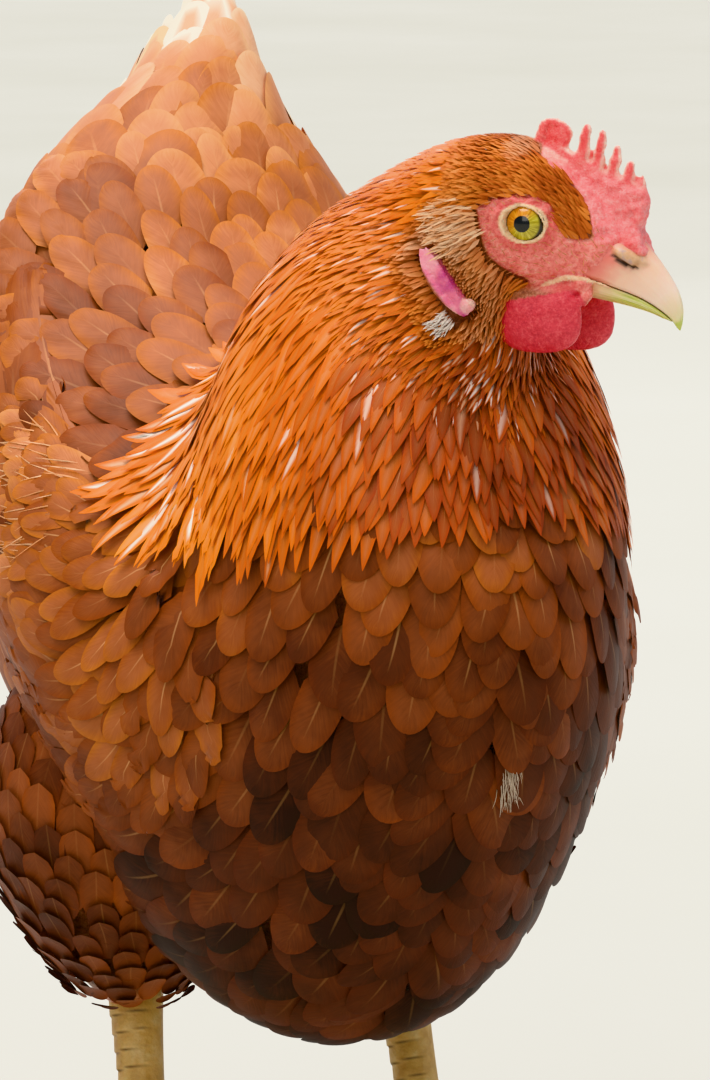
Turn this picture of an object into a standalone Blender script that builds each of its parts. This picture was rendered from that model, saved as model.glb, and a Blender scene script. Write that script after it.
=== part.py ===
"""A brown laying hen, life size, standing with its head turned to its left.

Metres, +Z up. The hen faces -Y and its left side is at +X. The origin is on the floor, under the middle
of the whole bird. Head, neck, trunk and tail are lengths of one lofted body. The lists of sections give
the outline out to the feather tips, and everything else sits on that body.
"""

import math

import bmesh
import bpy
import numpy as np
from mathutils import Matrix, Vector
from mathutils.bvhtree import BVHTree
from mathutils.geometry import tessellate_polygon

GAP = 0.0003  # clearance kept between touching pieces

# The head's own frame: forward along the bill, up over the comb, on the skull's middle line at eye level.
HEAD_CENTRE = (0.020, -0.083, 0.305)
HEAD_TURN = 50.0  # degrees, to the hen's left
HEAD_DIP = 17.0  # degrees, bill down

EYE_SIDE = 0.0100
EYE_RADIUS = 0.0068
BILL_TIP = (0.0420, -0.0150)
BODY_AROUND = 24  # corners round one body section
RINGS_PER_STEP = 2.5  # rings between two neighbouring sections

HIP_SIDE = 0.044
HIP_BACK = 0.028
HIP_HEIGHT = 0.188
THIGH_RADIUS = 0.0285
THIGH_END = 0.0085
HOCK = (0.037, 0.047, 0.094)
ANKLE = (0.041, 0.020, 0.013)
PAD_RADIUS = 0.0110
SHANK_RADIUS = 0.0055
TOES = {
    "inner": (-36.0, 0.037, 0.0040),
    "middle": (8.0, 0.058, 0.0043),
    "outer": (53.0, 0.046, 0.0040),
    "back": (-160.0, 0.026, 0.0036),
}  # degrees outwards from straight ahead, length and root radius of each toe
CLAW_LENGTH = 0.013

WING_FRONT = 8.3
WING_REAR = 2.35
WING_DEPTH = 0.0075

COMB_CENTRE = (0.0100, 0.0040)
COMB_POINTS = 6
WATTLE_SIZE = (0.0105, 0.0040, 0.0090)
WATTLE_PLACE = (0.0108, 0.0100, -0.0215)
LOBE_SIZE = (0.0033, 0.0026, 0.0098)
LOBE_PLACE = (-0.0138, -0.0190)


def head_axes():
    """The head's forward, left and up directions, from its turn and dip."""
    turn = math.radians(HEAD_TURN)
    dip = math.radians(HEAD_DIP)
    forward = Vector((math.sin(turn) * math.cos(dip), -math.cos(turn) * math.cos(dip), -math.sin(dip)))
    left = Vector((math.cos(turn), math.sin(turn), 0.0))
    up = Vector((math.sin(turn) * math.sin(dip), -math.cos(turn) * math.sin(dip), math.cos(dip)))
    return forward, left, up


def head_point(forward, up, side=0.0):
    """A point given in the head's own frame, in the hen's frame."""
    axes = head_axes()
    return Vector(HEAD_CENTRE) + axes[0] * forward + axes[1] * side + axes[2] * up


def body_sections():
    """Sections of the body from tail tip to bill: back point, belly point, half width, turn, roll, fullness.

    Turn and roll are degrees to the hen's left. Fullness above 0 moves the widest place towards the back.
    """
    return [
        ((0.021, 0.141, 0.353), (0.017, 0.166, 0.326), 0.005, 0, 8, 0.00),
        ((0.018, 0.121, 0.339), (0.010, 0.175, 0.288), 0.019, 0, 10, -0.20),
        ((0.009, 0.098, 0.319), (0.002, 0.161, 0.236), 0.047, 0, 12, 0.00),
        ((0.006, 0.074, 0.298), (0.001, 0.134, 0.178), 0.069, 0, 12, 0.15),
        ((0.002, 0.046, 0.281), (0.000, 0.096, 0.126), 0.075, 0, 9, 0.14),
        ((0.000, 0.018, 0.271), (0.000, 0.045, 0.096), 0.074, 0, 4, 0.12),
        ((0.000, -0.001, 0.268), (0.000, -0.008, 0.087), 0.070, 0, 0, 0.12),
        ((0.000, -0.007, 0.271), (0.000, -0.048, 0.104), 0.063, 0, 0, 0.08),
        ((0.000, -0.010, 0.277), (0.000, -0.081, 0.141), 0.057, 0, 0, 0.00),
        ((0.000, -0.013, 0.284), (0.000, -0.105, 0.180), 0.052, 0, 0, 0.05),
        ((0.001, -0.016, 0.292), (0.001, -0.111, 0.214), 0.047, 3, 0, 0.10),
        ((0.003, -0.021, 0.301), (0.003, -0.102, 0.242), 0.041, 9, 0, 0.10),
        ((0.005, -0.030, 0.309), (0.007, -0.092, 0.259), 0.035, 20, 0, 0.15),
        ((0.008, -0.044, 0.317), (0.014, -0.086, 0.269), 0.028, 34, 0, 0.20),
        (head_point(-0.022, 0.0125), head_point(0.0075, -0.0215), 0.0215, 45, 0, 0.20),
        (head_point(-0.010, 0.0168), head_point(0.0095, -0.0185), 0.0170, 50, 0, 0.10),
        (head_point(0.001, 0.0160), head_point(0.0110, -0.0168), 0.0142, 50, 0, 0.00),
        (head_point(0.011, 0.0120), head_point(0.0122, -0.0158), 0.0118, 50, 0, -0.05),
        (head_point(0.020, 0.0075), head_point(0.0132, -0.0152), 0.0098, 50, 0, -0.10),
        (head_point(0.027, 0.0025), head_point(0.0142, -0.0147), 0.0078, 50, 0, -0.10),
    ]


TAIL_END = 3.0  # numbers of the sections where tail, trunk, neck and head part
NECK_START = 9.5
HEAD_START = 13.75
BODY_END = 19.0


def blend(values, at):
    """Catmull-Rom curve through the rows of values, read at a place counted in rows."""
    values = np.asarray(values, float)
    last = len(values) - 1
    row = min(int(at), last - 1)
    t = at - row
    before = values[max(row - 1, 0)]
    start = values[row]
    end = values[row + 1]
    after = values[min(row + 2, last)]
    return 0.5 * (
        2 * start
        + (end - before) * t
        + (2 * before - 5 * start + 4 * end - after) * t**2
        + (3 * start - before - 3 * end + after) * t**3
    )


def section_table():
    """One row for each body section: back point, belly point, half width, turn, roll and fullness."""
    return [[*section[0], *section[1], *section[2:]] for section in body_sections()]


def body_point(at, angles):
    """Points of the body's surface at a section number; angle 0 is the back, 90 degrees the hen's left."""
    row = blend(section_table(), at)
    back = row[0:3]
    belly = row[3:6]
    width, turn, roll, full = row[6:10]
    turn = math.radians(turn)
    roll = math.radians(roll)
    side = np.array((math.cos(turn) * math.cos(roll), math.sin(turn) * math.cos(roll), -math.sin(roll)))
    angles = np.asarray(angles, float)[..., None]
    rise = np.cos(angles) + full * np.sin(angles) ** 2
    return (back + belly) / 2 + (back - belly) / 2 * rise + side * width * np.sin(angles)


def body_normal(at, angle):
    """The direction straight out of the body's surface."""
    step = 1e-3
    along = body_point(at + step, angle) - body_point(at - step, angle)
    around = body_point(at, angle + step) - body_point(at, angle - step)
    out = np.cross(around, along)
    return out / np.linalg.norm(out)


def paint(name, colour, roughness):
    """A Principled material; the colour is a linear RGB triple."""
    material = bpy.data.materials.new(name)
    material.use_nodes = True
    surface = material.node_tree.nodes["Principled BSDF"]
    surface.inputs["Base Color"].default_value = (*colour, 1.0)
    surface.inputs["Roughness"].default_value = roughness
    surface.inputs["Metallic"].default_value = 0.0
    return material


def solid(name, points, faces, material):
    """A closed mesh object with its faces turned outwards."""
    mesh = bpy.data.meshes.new(name)
    mesh.from_pydata([tuple(point) for point in points], [], faces)
    work = bmesh.new()
    work.from_mesh(mesh)
    bmesh.ops.recalc_face_normals(work, faces=work.faces)
    if work.calc_volume(signed=True) < 0:
        bmesh.ops.reverse_faces(work, faces=work.faces)
    work.to_mesh(mesh)
    work.free()
    mesh.shade_smooth()
    mesh.set_sharp_from_angle(angle=math.radians(40))
    mesh.materials.append(material)
    obj = bpy.data.objects.new(name, mesh)
    bpy.context.scene.collection.objects.link(obj)
    return obj


def loft(name, rings, material, tip=None):
    """A closed solid through equal rings, its ends closed by fans; tip is the last end's point."""
    rings = [np.asarray(ring) for ring in rings]
    around = len(rings[0])
    points = [point for ring in rings for point in ring]
    faces = []
    for row in range(len(rings) - 1):
        for k in range(around):
            a = row * around + k
            b = row * around + (k + 1) % around
            faces.append((a, b, b + around, a + around))
    for first, centre in ((0, rings[0].mean(0)), ((len(rings) - 1) * around, tip)):
        points.append(rings[-1].mean(0) if centre is None else centre)
        faces += [(first + k, first + (k + 1) % around, len(points) - 1) for k in range(around)]
    return solid(name, points, faces, material)


def plate(name, rings, material):
    """A closed slab through equal rings of any outline, its two flat faces cut into triangles."""
    around = len(rings[0])
    points = [point for ring in rings for point in ring]
    faces = []
    for row in range(len(rings) - 1):
        for k in range(around):
            a = row * around + k
            b = row * around + (k + 1) % around
            faces.append((a, b, b + around, a + around))
    for first in (0, (len(rings) - 1) * around):
        corners = range(first, first + around)
        flat = tessellate_polygon([[Vector(points[corner]) for corner in corners]])
        faces += [tuple(first + corner for corner in triangle) for triangle in flat]
    return solid(name, points, faces, material)


def ring_plane_shift(ring, towards):
    """The small move that carries a flat ring one gap along its plane's normal, to the side of a point."""
    normal = np.cross(ring[len(ring) // 4] - ring[0], ring[len(ring) // 2] - ring[0])
    normal /= np.linalg.norm(normal)
    if np.dot(towards - ring.mean(0), normal) < 0:
        normal = -normal
    return normal * GAP


def body_length(name, start, end, material):
    """One length of the body between two section numbers, one gap off the length before it."""
    angles = np.arange(BODY_AROUND) * 2 * math.pi / BODY_AROUND
    count = max(int(round((end - start) * RINGS_PER_STEP)), 2)
    rings = [body_point(at, angles) for at in np.linspace(start, end, count + 1)]
    if start > 0:
        rings[0] = rings[0] + ring_plane_shift(rings[0], rings[1].mean(0))
    return loft(name, rings, material)


def swollen(obj, amount):
    """A hidden copy of a solid, moved out along its normals, that cuts room for it with the gap included."""
    mesh = obj.data.copy()
    work = bmesh.new()
    work.from_mesh(mesh)
    work.normal_update()
    for vert, normal in [(vert, vert.normal.copy()) for vert in work.verts]:
        vert.co += normal * amount
    work.to_mesh(mesh)
    work.free()
    cutter = bpy.data.objects.new(obj.name + "_room", mesh)
    bpy.context.scene.collection.objects.link(cutter)
    cutter.hide_render = True
    cutter.display_type = "WIRE"
    return cutter


def cut(obj, cutter):
    """Takes the cutter's room out of a solid with an exact Boolean."""
    modifier = obj.modifiers.new("Room for " + cutter.name, "BOOLEAN")
    modifier.operation = "DIFFERENCE"
    modifier.solver = "EXACT"
    modifier.object = cutter


def ball(name, centre, size, axes, material, segments=20, rows=10):
    """An ellipsoid with its three half sizes along three axes."""
    rings = []
    for row in range(1, rows):
        lift = math.pi * row / rows
        turn = np.arange(segments) * 2 * math.pi / segments
        ring = (
            np.outer(np.cos(turn) * math.sin(lift) * size[0], axes[0])
            + np.outer(np.sin(turn) * math.sin(lift) * size[1], axes[1])
            + np.array(axes[2]) * math.cos(lift) * size[2]
        )
        rings.append(ring + np.array(centre))
    obj = loft(name, rings, material, tip=np.array(centre) - np.array(axes[2]) * size[2])
    obj.data.vertices[len(rings) * segments].co = Vector(centre) + Vector(axes[2]) * size[2]
    return obj


def wing(name, side, material):
    """The folded wing: a shell that lies on the trunk, from under the hackle back to its tip at the tail."""
    along = 16
    across = 7
    places = np.linspace(WING_FRONT, WING_REAR, along)
    inner = []
    outer = []
    for number, at in enumerate(places):
        back = number / (along - 1)
        top = math.radians(46 + 26 * (1 - back) ** 2 + 4 * back)
        bottom = math.radians(104 + 14 * math.sin(math.pi * min(back * 1.5, 1.0)) - 38 * back**1.6)
        for k in range(across + 1):
            part = k / across
            angle = side * (top + (bottom - top) * part)
            lengthwise = math.sin(math.pi * (0.08 + 0.84 * back))
            crosswise = math.sin(math.pi * (0.06 + 0.88 * part))
            swell = (lengthwise * crosswise) ** 0.6
            point = body_point(at, angle)
            out = body_normal(at, angle)
            if np.dot(out, (side, 0, 0)) < 0:
                out = -out
            inner.append(point + out * (GAP + 0.0002))
            outer.append(point + out * (GAP + 0.0009 + WING_DEPTH * swell))
    rows = across + 1
    total = along * rows
    faces = []
    for i in range(along - 1):
        for k in range(across):
            a = i * rows + k
            quad = (a, a + 1, a + rows + 1, a + rows)
            faces.append(quad)
            faces.append(tuple(total + corner for corner in reversed(quad)))
    rim = [k for k in range(rows)]
    rim += [i * rows + across for i in range(1, along)]
    rim += [(along - 1) * rows + k for k in range(across - 1, -1, -1)]
    rim += [i * rows for i in range(along - 2, 0, -1)]
    for here, there in zip(rim, rim[1:] + rim[:1]):
        faces.append((here, there, total + there, total + here))
    return solid(name, inner + outer, faces, material)


def tube(name, path, radii, material, around=12, flat_floor=False, up=(0, 0, 1)):
    """A round limb through the points of a path, with a radius at each; it may lie flat on the floor."""
    path = [Vector(point) for point in path]
    rings = []
    for number, centre in enumerate(path):
        ahead = path[min(number + 1, len(path) - 1)]
        behind = path[max(number - 1, 0)]
        along = (ahead - behind).normalized()
        side = along.cross(Vector(up)).normalized()
        over = side.cross(along)
        ring = []
        for k in range(around):
            turn = 2 * math.pi * k / around
            point = centre + (side * math.cos(turn) + over * math.sin(turn)) * radii[number]
            if flat_floor:
                point.z = max(point.z, 0.0)
            ring.append(np.array(point))
        rings.append(ring)
    return loft(name, rings, material)


def thigh(name, side, material):
    """The feathered drumstick: fullest just under the belly and tapering to the hock."""
    top = Vector((side * HIP_SIDE, HIP_BACK, HIP_HEIGHT))
    hock = Vector((side * HOCK[0], HOCK[1] + 0.001, HOCK[2] - 0.006))
    steps = 12
    path = []
    radii = []
    for number in range(steps + 1):
        t = number / steps
        path.append(top.lerp(hock, t) + Vector((side * 0.006, -0.005, 0)) * math.sin(math.pi * t))
        radii.append(THIGH_RADIUS * math.sin(math.pi * t**0.7) ** 0.8 + THIGH_END * (0.4 + 0.6 * t))
    return tube(name, path, radii, material, around=16, up=(1, 0, 0))


def shank(name, side, material):
    """The bare scaled leg from the hock to the pad under the toes."""
    hock = Vector((side * HOCK[0], HOCK[1], HOCK[2]))
    ankle = Vector((side * ANKLE[0], ANKLE[1], ANKLE[2]))
    steps = 10
    path = []
    radii = []
    for number in range(steps + 1):
        t = number / steps
        path.append(hock.lerp(ankle, t))
        radii.append(SHANK_RADIUS + 0.0022 * (1 - t) ** 4 + 0.0016 * t**6)
    leg = tube(name, path, radii, material, around=10, up=(1, 0, 0))
    pad_rings = []
    for height, reach in ((0.0, 0.86), (0.002, 1.0), (0.006, 1.0), (0.011, 0.86), (0.0155, 0.50)):
        turn = np.arange(14) * 2 * math.pi / 14
        ring = np.stack([np.cos(turn), np.sin(turn), 0 * turn], 1) * PAD_RADIUS * reach
        pad_rings.append(ring + np.array((ankle.x, ankle.y - 0.001, height)))
    pad = loft(name + "_pad", pad_rings, material)
    pad.hide_render = True
    pad.display_type = "WIRE"
    join = leg.modifiers.new("Pad under the toes", "BOOLEAN")
    join.operation = "UNION"
    join.solver = "EXACT"
    join.object = pad
    return leg, pad


def toe(name, side, kind, material):
    """One toe: three or four pads in a row, flat underneath where it rests on the floor."""
    spread, length, radius = TOES[kind]
    turn = math.radians(spread)
    ahead = Vector((side * math.sin(turn), -math.cos(turn), 0.0))
    root = Vector((side * ANKLE[0], ANKLE[1] - 0.001, 0.0))
    steps = 8
    path = []
    radii = []
    for number in range(steps + 1):
        t = number / steps
        thick = radius * (1 - 0.30 * t) * (1 - 0.07 * math.cos(6 * math.pi * t))
        rise = 0.0034 * (1 - t) ** 2 + 0.0010 * math.sin(math.pi * t)
        path.append(root + ahead * (PAD_RADIUS - 0.002 + length * t) + Vector((0, 0, 0.86 * thick + rise)))
        radii.append(thick)
    obj = tube(name, path, radii, material, around=9, flat_floor=True)
    return obj, path[-1], ahead, radii[-1]


def claw(name, start, ahead, radius, material):
    """A horn claw that curves down from the end of its toe to the floor."""
    path = []
    radii = []
    steps = 4
    for number in range(steps + 1):
        t = number / steps
        drop = (start.z - 0.0012) * t**1.8
        bow = 0.0008 * math.sin(math.pi * t)
        path.append(start + ahead * (CLAW_LENGTH * t - 0.0015) + Vector((0, 0, bow - drop)))
        radii.append(radius * 0.70 * (1 - t) ** 0.8 + 0.0005)
    return tube(name, path, radii, material, around=7, flat_floor=True)


def comb_reach(angle):
    """How far the comb reaches from its centre in a direction, in degrees up from straight ahead."""
    first = 24.0
    spacing = 16.0
    last = first + spacing * (COMB_POINTS - 1)
    if angle < first:
        return 0.0176 + 0.0012 * (first - angle) / 30.0
    if angle <= last + spacing / 2:
        phase = (angle - first) / spacing
        from_point = abs(phase - round(phase)) * 2
        return 0.0172 + 0.0030 * phase / (COMB_POINTS - 1) - 0.0042 * from_point**0.9
    behind = angle - (last + spacing / 2)
    return 0.0160 + 0.0060 * min(behind / 10.0, 1.0) - 0.0050 * max((behind - 20.0) / 18.0, 0.0) ** 2


def comb(name, material):
    """The single comb: an upright blade with pointed tips in front and a broad lobe behind."""
    outline = []
    for angle in np.arange(-8.0, 157.0, 16.0 / 3):
        reach = comb_reach(angle)
        turn = math.radians(angle)
        forward = COMB_CENTRE[0] + reach * math.cos(turn)
        outline.append((forward, COMB_CENTRE[1] + reach * math.sin(turn), reach))
    outline.append((COMB_CENTRE[0] - 0.006, COMB_CENTRE[1] - 0.002, 0.006))
    outline.append((COMB_CENTRE[0] + 0.008, COMB_CENTRE[1] - 0.004, 0.006))
    rings = []
    for share, side in ((0.965, -1.0), (1.0, -0.55), (1.0, 0.55), (0.965, 1.0)):
        ring = []
        for forward, up, reach in outline:
            thick = 0.0024 - 0.0013 * min(max((reach - 0.010) / 0.010, 0.0), 1.0)
            f = COMB_CENTRE[0] + (forward - COMB_CENTRE[0]) * share
            u = COMB_CENTRE[1] + (up - COMB_CENTRE[1]) * share
            ring.append(np.array(head_point(f, u, side * thick)))
        rings.append(ring)
    return plate(name, rings, material)


def bill_sections():
    """Sections of the bill from root to tip, in the head's frame: top, mouth line, bottom, half width."""
    tip_f, tip_u = BILL_TIP
    return [
        ((0.0240, 0.0024), (0.0150, -0.0092), (0.0115, -0.0144), 0.0078),
        ((0.0310, 0.0018), (0.0240, -0.0098), (0.0200, -0.0152), 0.0062),
        ((0.0352, -0.0020), (0.0305, -0.0108), (0.0270, -0.0154), 0.0049),
        ((0.0385, -0.0068), (0.0350, -0.0119), (0.0330, -0.0150), 0.0036),
        ((0.0408, -0.0112), (0.0385, -0.0134), (0.0372, -0.0148), 0.0022),
        ((tip_f, tip_u - 0.0006), (tip_f - 0.0012, tip_u - 0.0012), (tip_f - 0.0030, tip_u + 0.0002), 0.0008),
    ]


def bill(name, upper, material):
    """Half of the bill, closed along the mouth line."""
    rows = [[*top, *mouth, *bottom, width] for top, mouth, bottom, width in bill_sections()]
    steps = 9
    last = len(rows) - 1 if upper else len(rows) - 1.35
    rings = []
    around = 14
    for number in range(steps + 1):
        row = blend(rows, last * number / steps)
        mouth = row[2:4]
        far = row[0:2] if upper else row[4:6]
        ring = []
        for k in range(around):
            turn = 2 * math.pi * k / around
            arch = math.cos(turn)
            across = math.sin(turn) * row[6] * (1.0 if upper else 0.92)
            share = max(arch, 0.0) ** 0.8 if arch > 0 else 0.0
            lift = mouth + (far - mouth) * share
            lift = lift + (far - mouth) / max(np.linalg.norm(far - mouth), 1e-6) * GAP * 0.6
            if arch <= 0:
                across *= 0.98
            ring.append(np.array(head_point(lift[0] + GAP * 1.5, lift[1], across)))
        rings.append(ring)
    return loft(name, rings, material)


def surface_at(trees, forward, up, side):
    """Where a line from the side of the head first meets it, and the direction out of it there."""
    axes = head_axes()
    start = head_point(forward, up, side * 0.08)
    hits = [tree.ray_cast(start, -axes[1] * side) for tree in trees]
    hits = [hit for hit in hits if hit[0] is not None]
    best = min(hits, key=lambda hit: hit[3])
    return best[0], best[1]


def tree_of(obj):
    """A search tree over the faces of a mesh object."""
    points = [vertex.co.copy() for vertex in obj.data.vertices]
    faces = [tuple(face.vertices) for face in obj.data.polygons]
    return BVHTree.FromPolygons(points, faces)


def build():
    feather = paint("Feathers", (0.34, 0.12, 0.04), 0.75)
    hackle = paint("Hackle feathers", (0.62, 0.22, 0.04), 0.6)
    face = paint("Face and comb skin", (0.62, 0.06, 0.07), 0.55)
    wattle_skin = paint("Wattle skin", (0.55, 0.03, 0.05), 0.5)
    leg_scale = paint("Leg scales", (0.62, 0.42, 0.12), 0.5)
    horn = paint("Bill and claw horn", (0.62, 0.52, 0.36), 0.4)
    eyeball = paint("Eye", (0.55, 0.22, 0.02), 0.1)

    body_length("tail", 0.0, TAIL_END, feather)
    trunk = body_length("trunk", TAIL_END, NECK_START, feather)
    neck = body_length("neck", NECK_START, HEAD_START, hackle)
    head = body_length("head", HEAD_START, BODY_END, hackle)

    trees = [tree_of(head), tree_of(neck)]
    trunk_room = swollen(trunk, 2 * GAP)
    neck_room = swollen(neck, 2 * GAP)
    head_room = swollen(head, 2 * GAP)
    axes = head_axes()

    for side, mark in ((1, "L"), (-1, "R")):
        folded = wing(f"wing_{mark}", side, feather)
        leg, pad = shank(f"shank_{mark}", side, leg_scale)
        leg_room = swollen(leg, GAP)
        leg_room.modifiers.clear()
        pad_room = swollen(pad, GAP)
        upper_leg = thigh(f"thigh_{mark}", side, feather)
        cut(upper_leg, trunk_room)
        cut(upper_leg, leg_room)
        cut(upper_leg, swollen(folded, 2 * GAP))
        for kind in TOES:
            digit, end, ahead, radius = toe(f"toe_{kind}_{mark}", side, kind, leg_scale)
            cut(digit, pad_room)
            nail = claw(f"claw_{kind}_{mark}", end, ahead, radius, horn)
            cut(nail, swollen(digit, GAP))

        eye_centre = head_point(0.0, 0.0, side * EYE_SIDE)
        eye = ball(f"eye_{mark}", eye_centre, (EYE_RADIUS,) * 3, (axes[0], axes[2], axes[1]), eyeball, 14, 8)
        cut(head, swollen(eye, GAP))

        f, s, u = WATTLE_PLACE
        place = head_point(f, u, side * s)
        upright = (Vector((axes[0].x, axes[0].y, 0)).normalized(), axes[1], Vector((0, 0, 1)))
        flesh = ball(f"wattle_{mark}", place, WATTLE_SIZE, upright, wattle_skin, 14, 7)
        cut(flesh, head_room)
        cut(flesh, neck_room)

        spot, out = surface_at(trees, LOBE_PLACE[0], LOBE_PLACE[1], side)
        long_axis = (axes[2] * -0.90 + axes[0] * 0.44).normalized()
        long_axis = (long_axis - out * long_axis.dot(out)).normalized()
        cross_axis = out.cross(long_axis)
        lobe = ball(f"earlobe_{mark}", spot, LOBE_SIZE, (cross_axis, out, long_axis), wattle_skin, 12, 7)
        cut(lobe, head_room)
        cut(lobe, neck_room)

    upper_bill = bill("bill_upper", True, horn)
    lower_bill = bill("bill_lower", False, horn)
    cut(upper_bill, head_room)
    cut(lower_bill, head_room)
    crest = comb("comb", face)
    cut(crest, head_room)
    cut(crest, swollen(upper_bill, GAP))


def centre_over_origin():
    """Moves all meshes so that the middle of the whole bird's floor plan is at the origin."""
    shown = [obj for obj in bpy.data.objects if not obj.hide_render]
    points = np.array([vertex.co for obj in shown for vertex in obj.data.vertices])
    middle = (points.min(0) + points.max(0)) / 2
    for obj in bpy.data.objects:
        obj.data.transform(Matrix.Translation((-middle[0], -middle[1], 0.0)))


def main():
    for obj in list(bpy.data.objects):
        bpy.data.objects.remove(obj)
    build()
    centre_over_origin()


main()
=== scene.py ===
"""A brown laying hen as a life-size museum model: skin, feathers, eyes, bill and legs over its CAD frame.

Metres, +Z up. The hen faces -Y and its left side is at +X. The file follows the bird as it is put together:
the body's form, the skin, the eyes, the bill, the legs, then the coat from the head to the tail.
"""

import math

import bpy
import numpy as np
from mathutils import Matrix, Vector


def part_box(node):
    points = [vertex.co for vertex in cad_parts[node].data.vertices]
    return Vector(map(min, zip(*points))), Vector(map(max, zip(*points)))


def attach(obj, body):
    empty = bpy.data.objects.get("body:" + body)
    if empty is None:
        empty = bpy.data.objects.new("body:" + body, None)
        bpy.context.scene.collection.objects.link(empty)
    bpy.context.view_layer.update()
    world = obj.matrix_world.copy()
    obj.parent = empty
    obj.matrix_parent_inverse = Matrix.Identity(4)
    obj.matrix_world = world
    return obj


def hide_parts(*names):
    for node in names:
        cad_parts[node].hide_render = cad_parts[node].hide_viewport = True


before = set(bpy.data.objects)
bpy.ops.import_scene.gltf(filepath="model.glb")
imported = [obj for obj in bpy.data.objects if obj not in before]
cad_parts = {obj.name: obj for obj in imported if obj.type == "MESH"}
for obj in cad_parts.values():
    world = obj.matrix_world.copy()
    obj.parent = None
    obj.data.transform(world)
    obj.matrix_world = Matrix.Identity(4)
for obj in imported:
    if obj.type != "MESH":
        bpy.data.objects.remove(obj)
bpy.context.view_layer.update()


# ---------------------------------------------------------------- the body's form
# The outline of the whole bird out to the feather tips: sections from the tail's tip to the bill's root, each
# an egg-shaped ring. Skin and feathers are both placed on it, by section number and angle round the body.
# Angle 0 is the back, a quarter turn the hen's left, half a turn the belly.
HEAD_CENTRE = np.array((0.020, -0.083, 0.305))
HEAD_TURN = math.radians(50.0)
HEAD_DIP = math.radians(17.0)
FORWARD = np.array(
    (math.sin(HEAD_TURN) * math.cos(HEAD_DIP), -math.cos(HEAD_TURN) * math.cos(HEAD_DIP), -math.sin(HEAD_DIP))
)
LEFT = np.array((math.cos(HEAD_TURN), math.sin(HEAD_TURN), 0.0))
UP = np.cross(FORWARD, LEFT)
BILL_ROOT = 19.0  # section number of the form's front end; the rear end is 0


def box_middle(node):
    """The middle of a CAD node's box."""
    low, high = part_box(node)
    return (np.array(low) + np.array(high)) / 2


SHIFT = (box_middle("eye_L") + box_middle("eye_R")) / 2 - HEAD_CENTRE  # brings the places below onto the frame


def head_place(forward, up, side=0.0):
    """Points given in the head's own frame: forward along the bill, up over the comb, side to the left."""
    forward, up, side = np.broadcast_arrays(*(np.asarray(v, float)[..., None] for v in (forward, up, side)))
    return HEAD_CENTRE + SHIFT + forward * FORWARD + side * LEFT + up * UP


def head_row(back, belly, width, turn, full):
    """A section of the head, its back and belly points given as forward and up in the head's frame."""
    return [*(head_place(*back) - SHIFT), *(head_place(*belly) - SHIFT), width, turn, 0, full]


SECTIONS = np.array(
    [
        # back point, belly point, half width, turn, roll, fullness towards the back
        [0.021, 0.141, 0.353, 0.017, 0.166, 0.326, 0.005, 0, 8, 0.00],
        [0.018, 0.121, 0.339, 0.010, 0.175, 0.288, 0.019, 0, 10, -0.20],
        [0.009, 0.098, 0.319, 0.002, 0.161, 0.236, 0.047, 0, 12, 0.00],
        [0.006, 0.074, 0.298, 0.001, 0.134, 0.178, 0.069, 0, 12, 0.15],
        [0.002, 0.046, 0.281, 0.000, 0.096, 0.126, 0.075, 0, 9, 0.14],
        [0.000, 0.018, 0.271, 0.000, 0.045, 0.096, 0.074, 0, 4, 0.12],
        [0.000, -0.001, 0.268, 0.000, -0.008, 0.087, 0.070, 0, 0, 0.12],
        [0.000, -0.007, 0.271, 0.000, -0.048, 0.104, 0.063, 0, 0, 0.08],
        [0.000, -0.010, 0.277, 0.000, -0.081, 0.141, 0.057, 0, 0, 0.00],
        [0.000, -0.013, 0.284, 0.000, -0.105, 0.180, 0.052, 0, 0, 0.05],
        [0.001, -0.016, 0.292, 0.001, -0.111, 0.214, 0.047, 3, 0, 0.10],
        [0.003, -0.021, 0.301, 0.003, -0.102, 0.242, 0.041, 9, 0, 0.10],
        [0.005, -0.030, 0.309, 0.007, -0.092, 0.259, 0.035, 20, 0, 0.15],
        [0.008, -0.044, 0.317, 0.014, -0.086, 0.269, 0.028, 34, 0, 0.20],
        head_row((-0.022, 0.0125), (0.0075, -0.0215), 0.0215, 45, 0.20),
        head_row((-0.010, 0.0168), (0.0095, -0.0185), 0.0170, 50, 0.10),
        head_row((0.001, 0.0160), (0.0110, -0.0168), 0.0142, 50, 0.00),
        head_row((0.011, 0.0120), (0.0122, -0.0158), 0.0118, 50, -0.05),
        head_row((0.020, 0.0075), (0.0132, -0.0152), 0.0098, 50, -0.10),
        head_row((0.027, 0.0025), (0.0142, -0.0147), 0.0078, 50, -0.10),
    ]
)


def blend(rows, at):
    """Catmull-Rom curve through the rows of a table, read at places counted in rows."""
    last = len(rows) - 1
    row = np.clip(np.floor(at).astype(int), 0, last - 1)
    t = (at - row)[..., None]
    before = rows[np.maximum(row - 1, 0)]
    start = rows[row]
    end = rows[row + 1]
    after = rows[np.minimum(row + 2, last)]
    return 0.5 * (
        2 * start
        + (end - before) * t
        + (2 * before - 5 * start + 4 * end - after) * t**2
        + (3 * start - before - 3 * end + after) * t**3
    )


def form(at, angle):
    """Points of the plain form: middle + half height x (cos a + fullness sin^2 a) + half width x sin a."""
    at, angle = np.broadcast_arrays(np.asarray(at, float), np.asarray(angle, float))
    row = blend(SECTIONS, at)
    back = row[..., 0:3]
    belly = row[..., 3:6]
    turn = np.radians(row[..., 7])
    roll = np.radians(row[..., 8])
    side = np.stack([np.cos(turn) * np.cos(roll), np.sin(turn) * np.cos(roll), -np.sin(roll)], -1)
    rise = np.cos(angle) + row[..., 9] * np.sin(angle) ** 2
    across = side * (row[..., 6] * np.sin(angle))[..., None]
    return SHIFT + (back + belly) / 2 + (back - belly) / 2 * rise[..., None] + across


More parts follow.
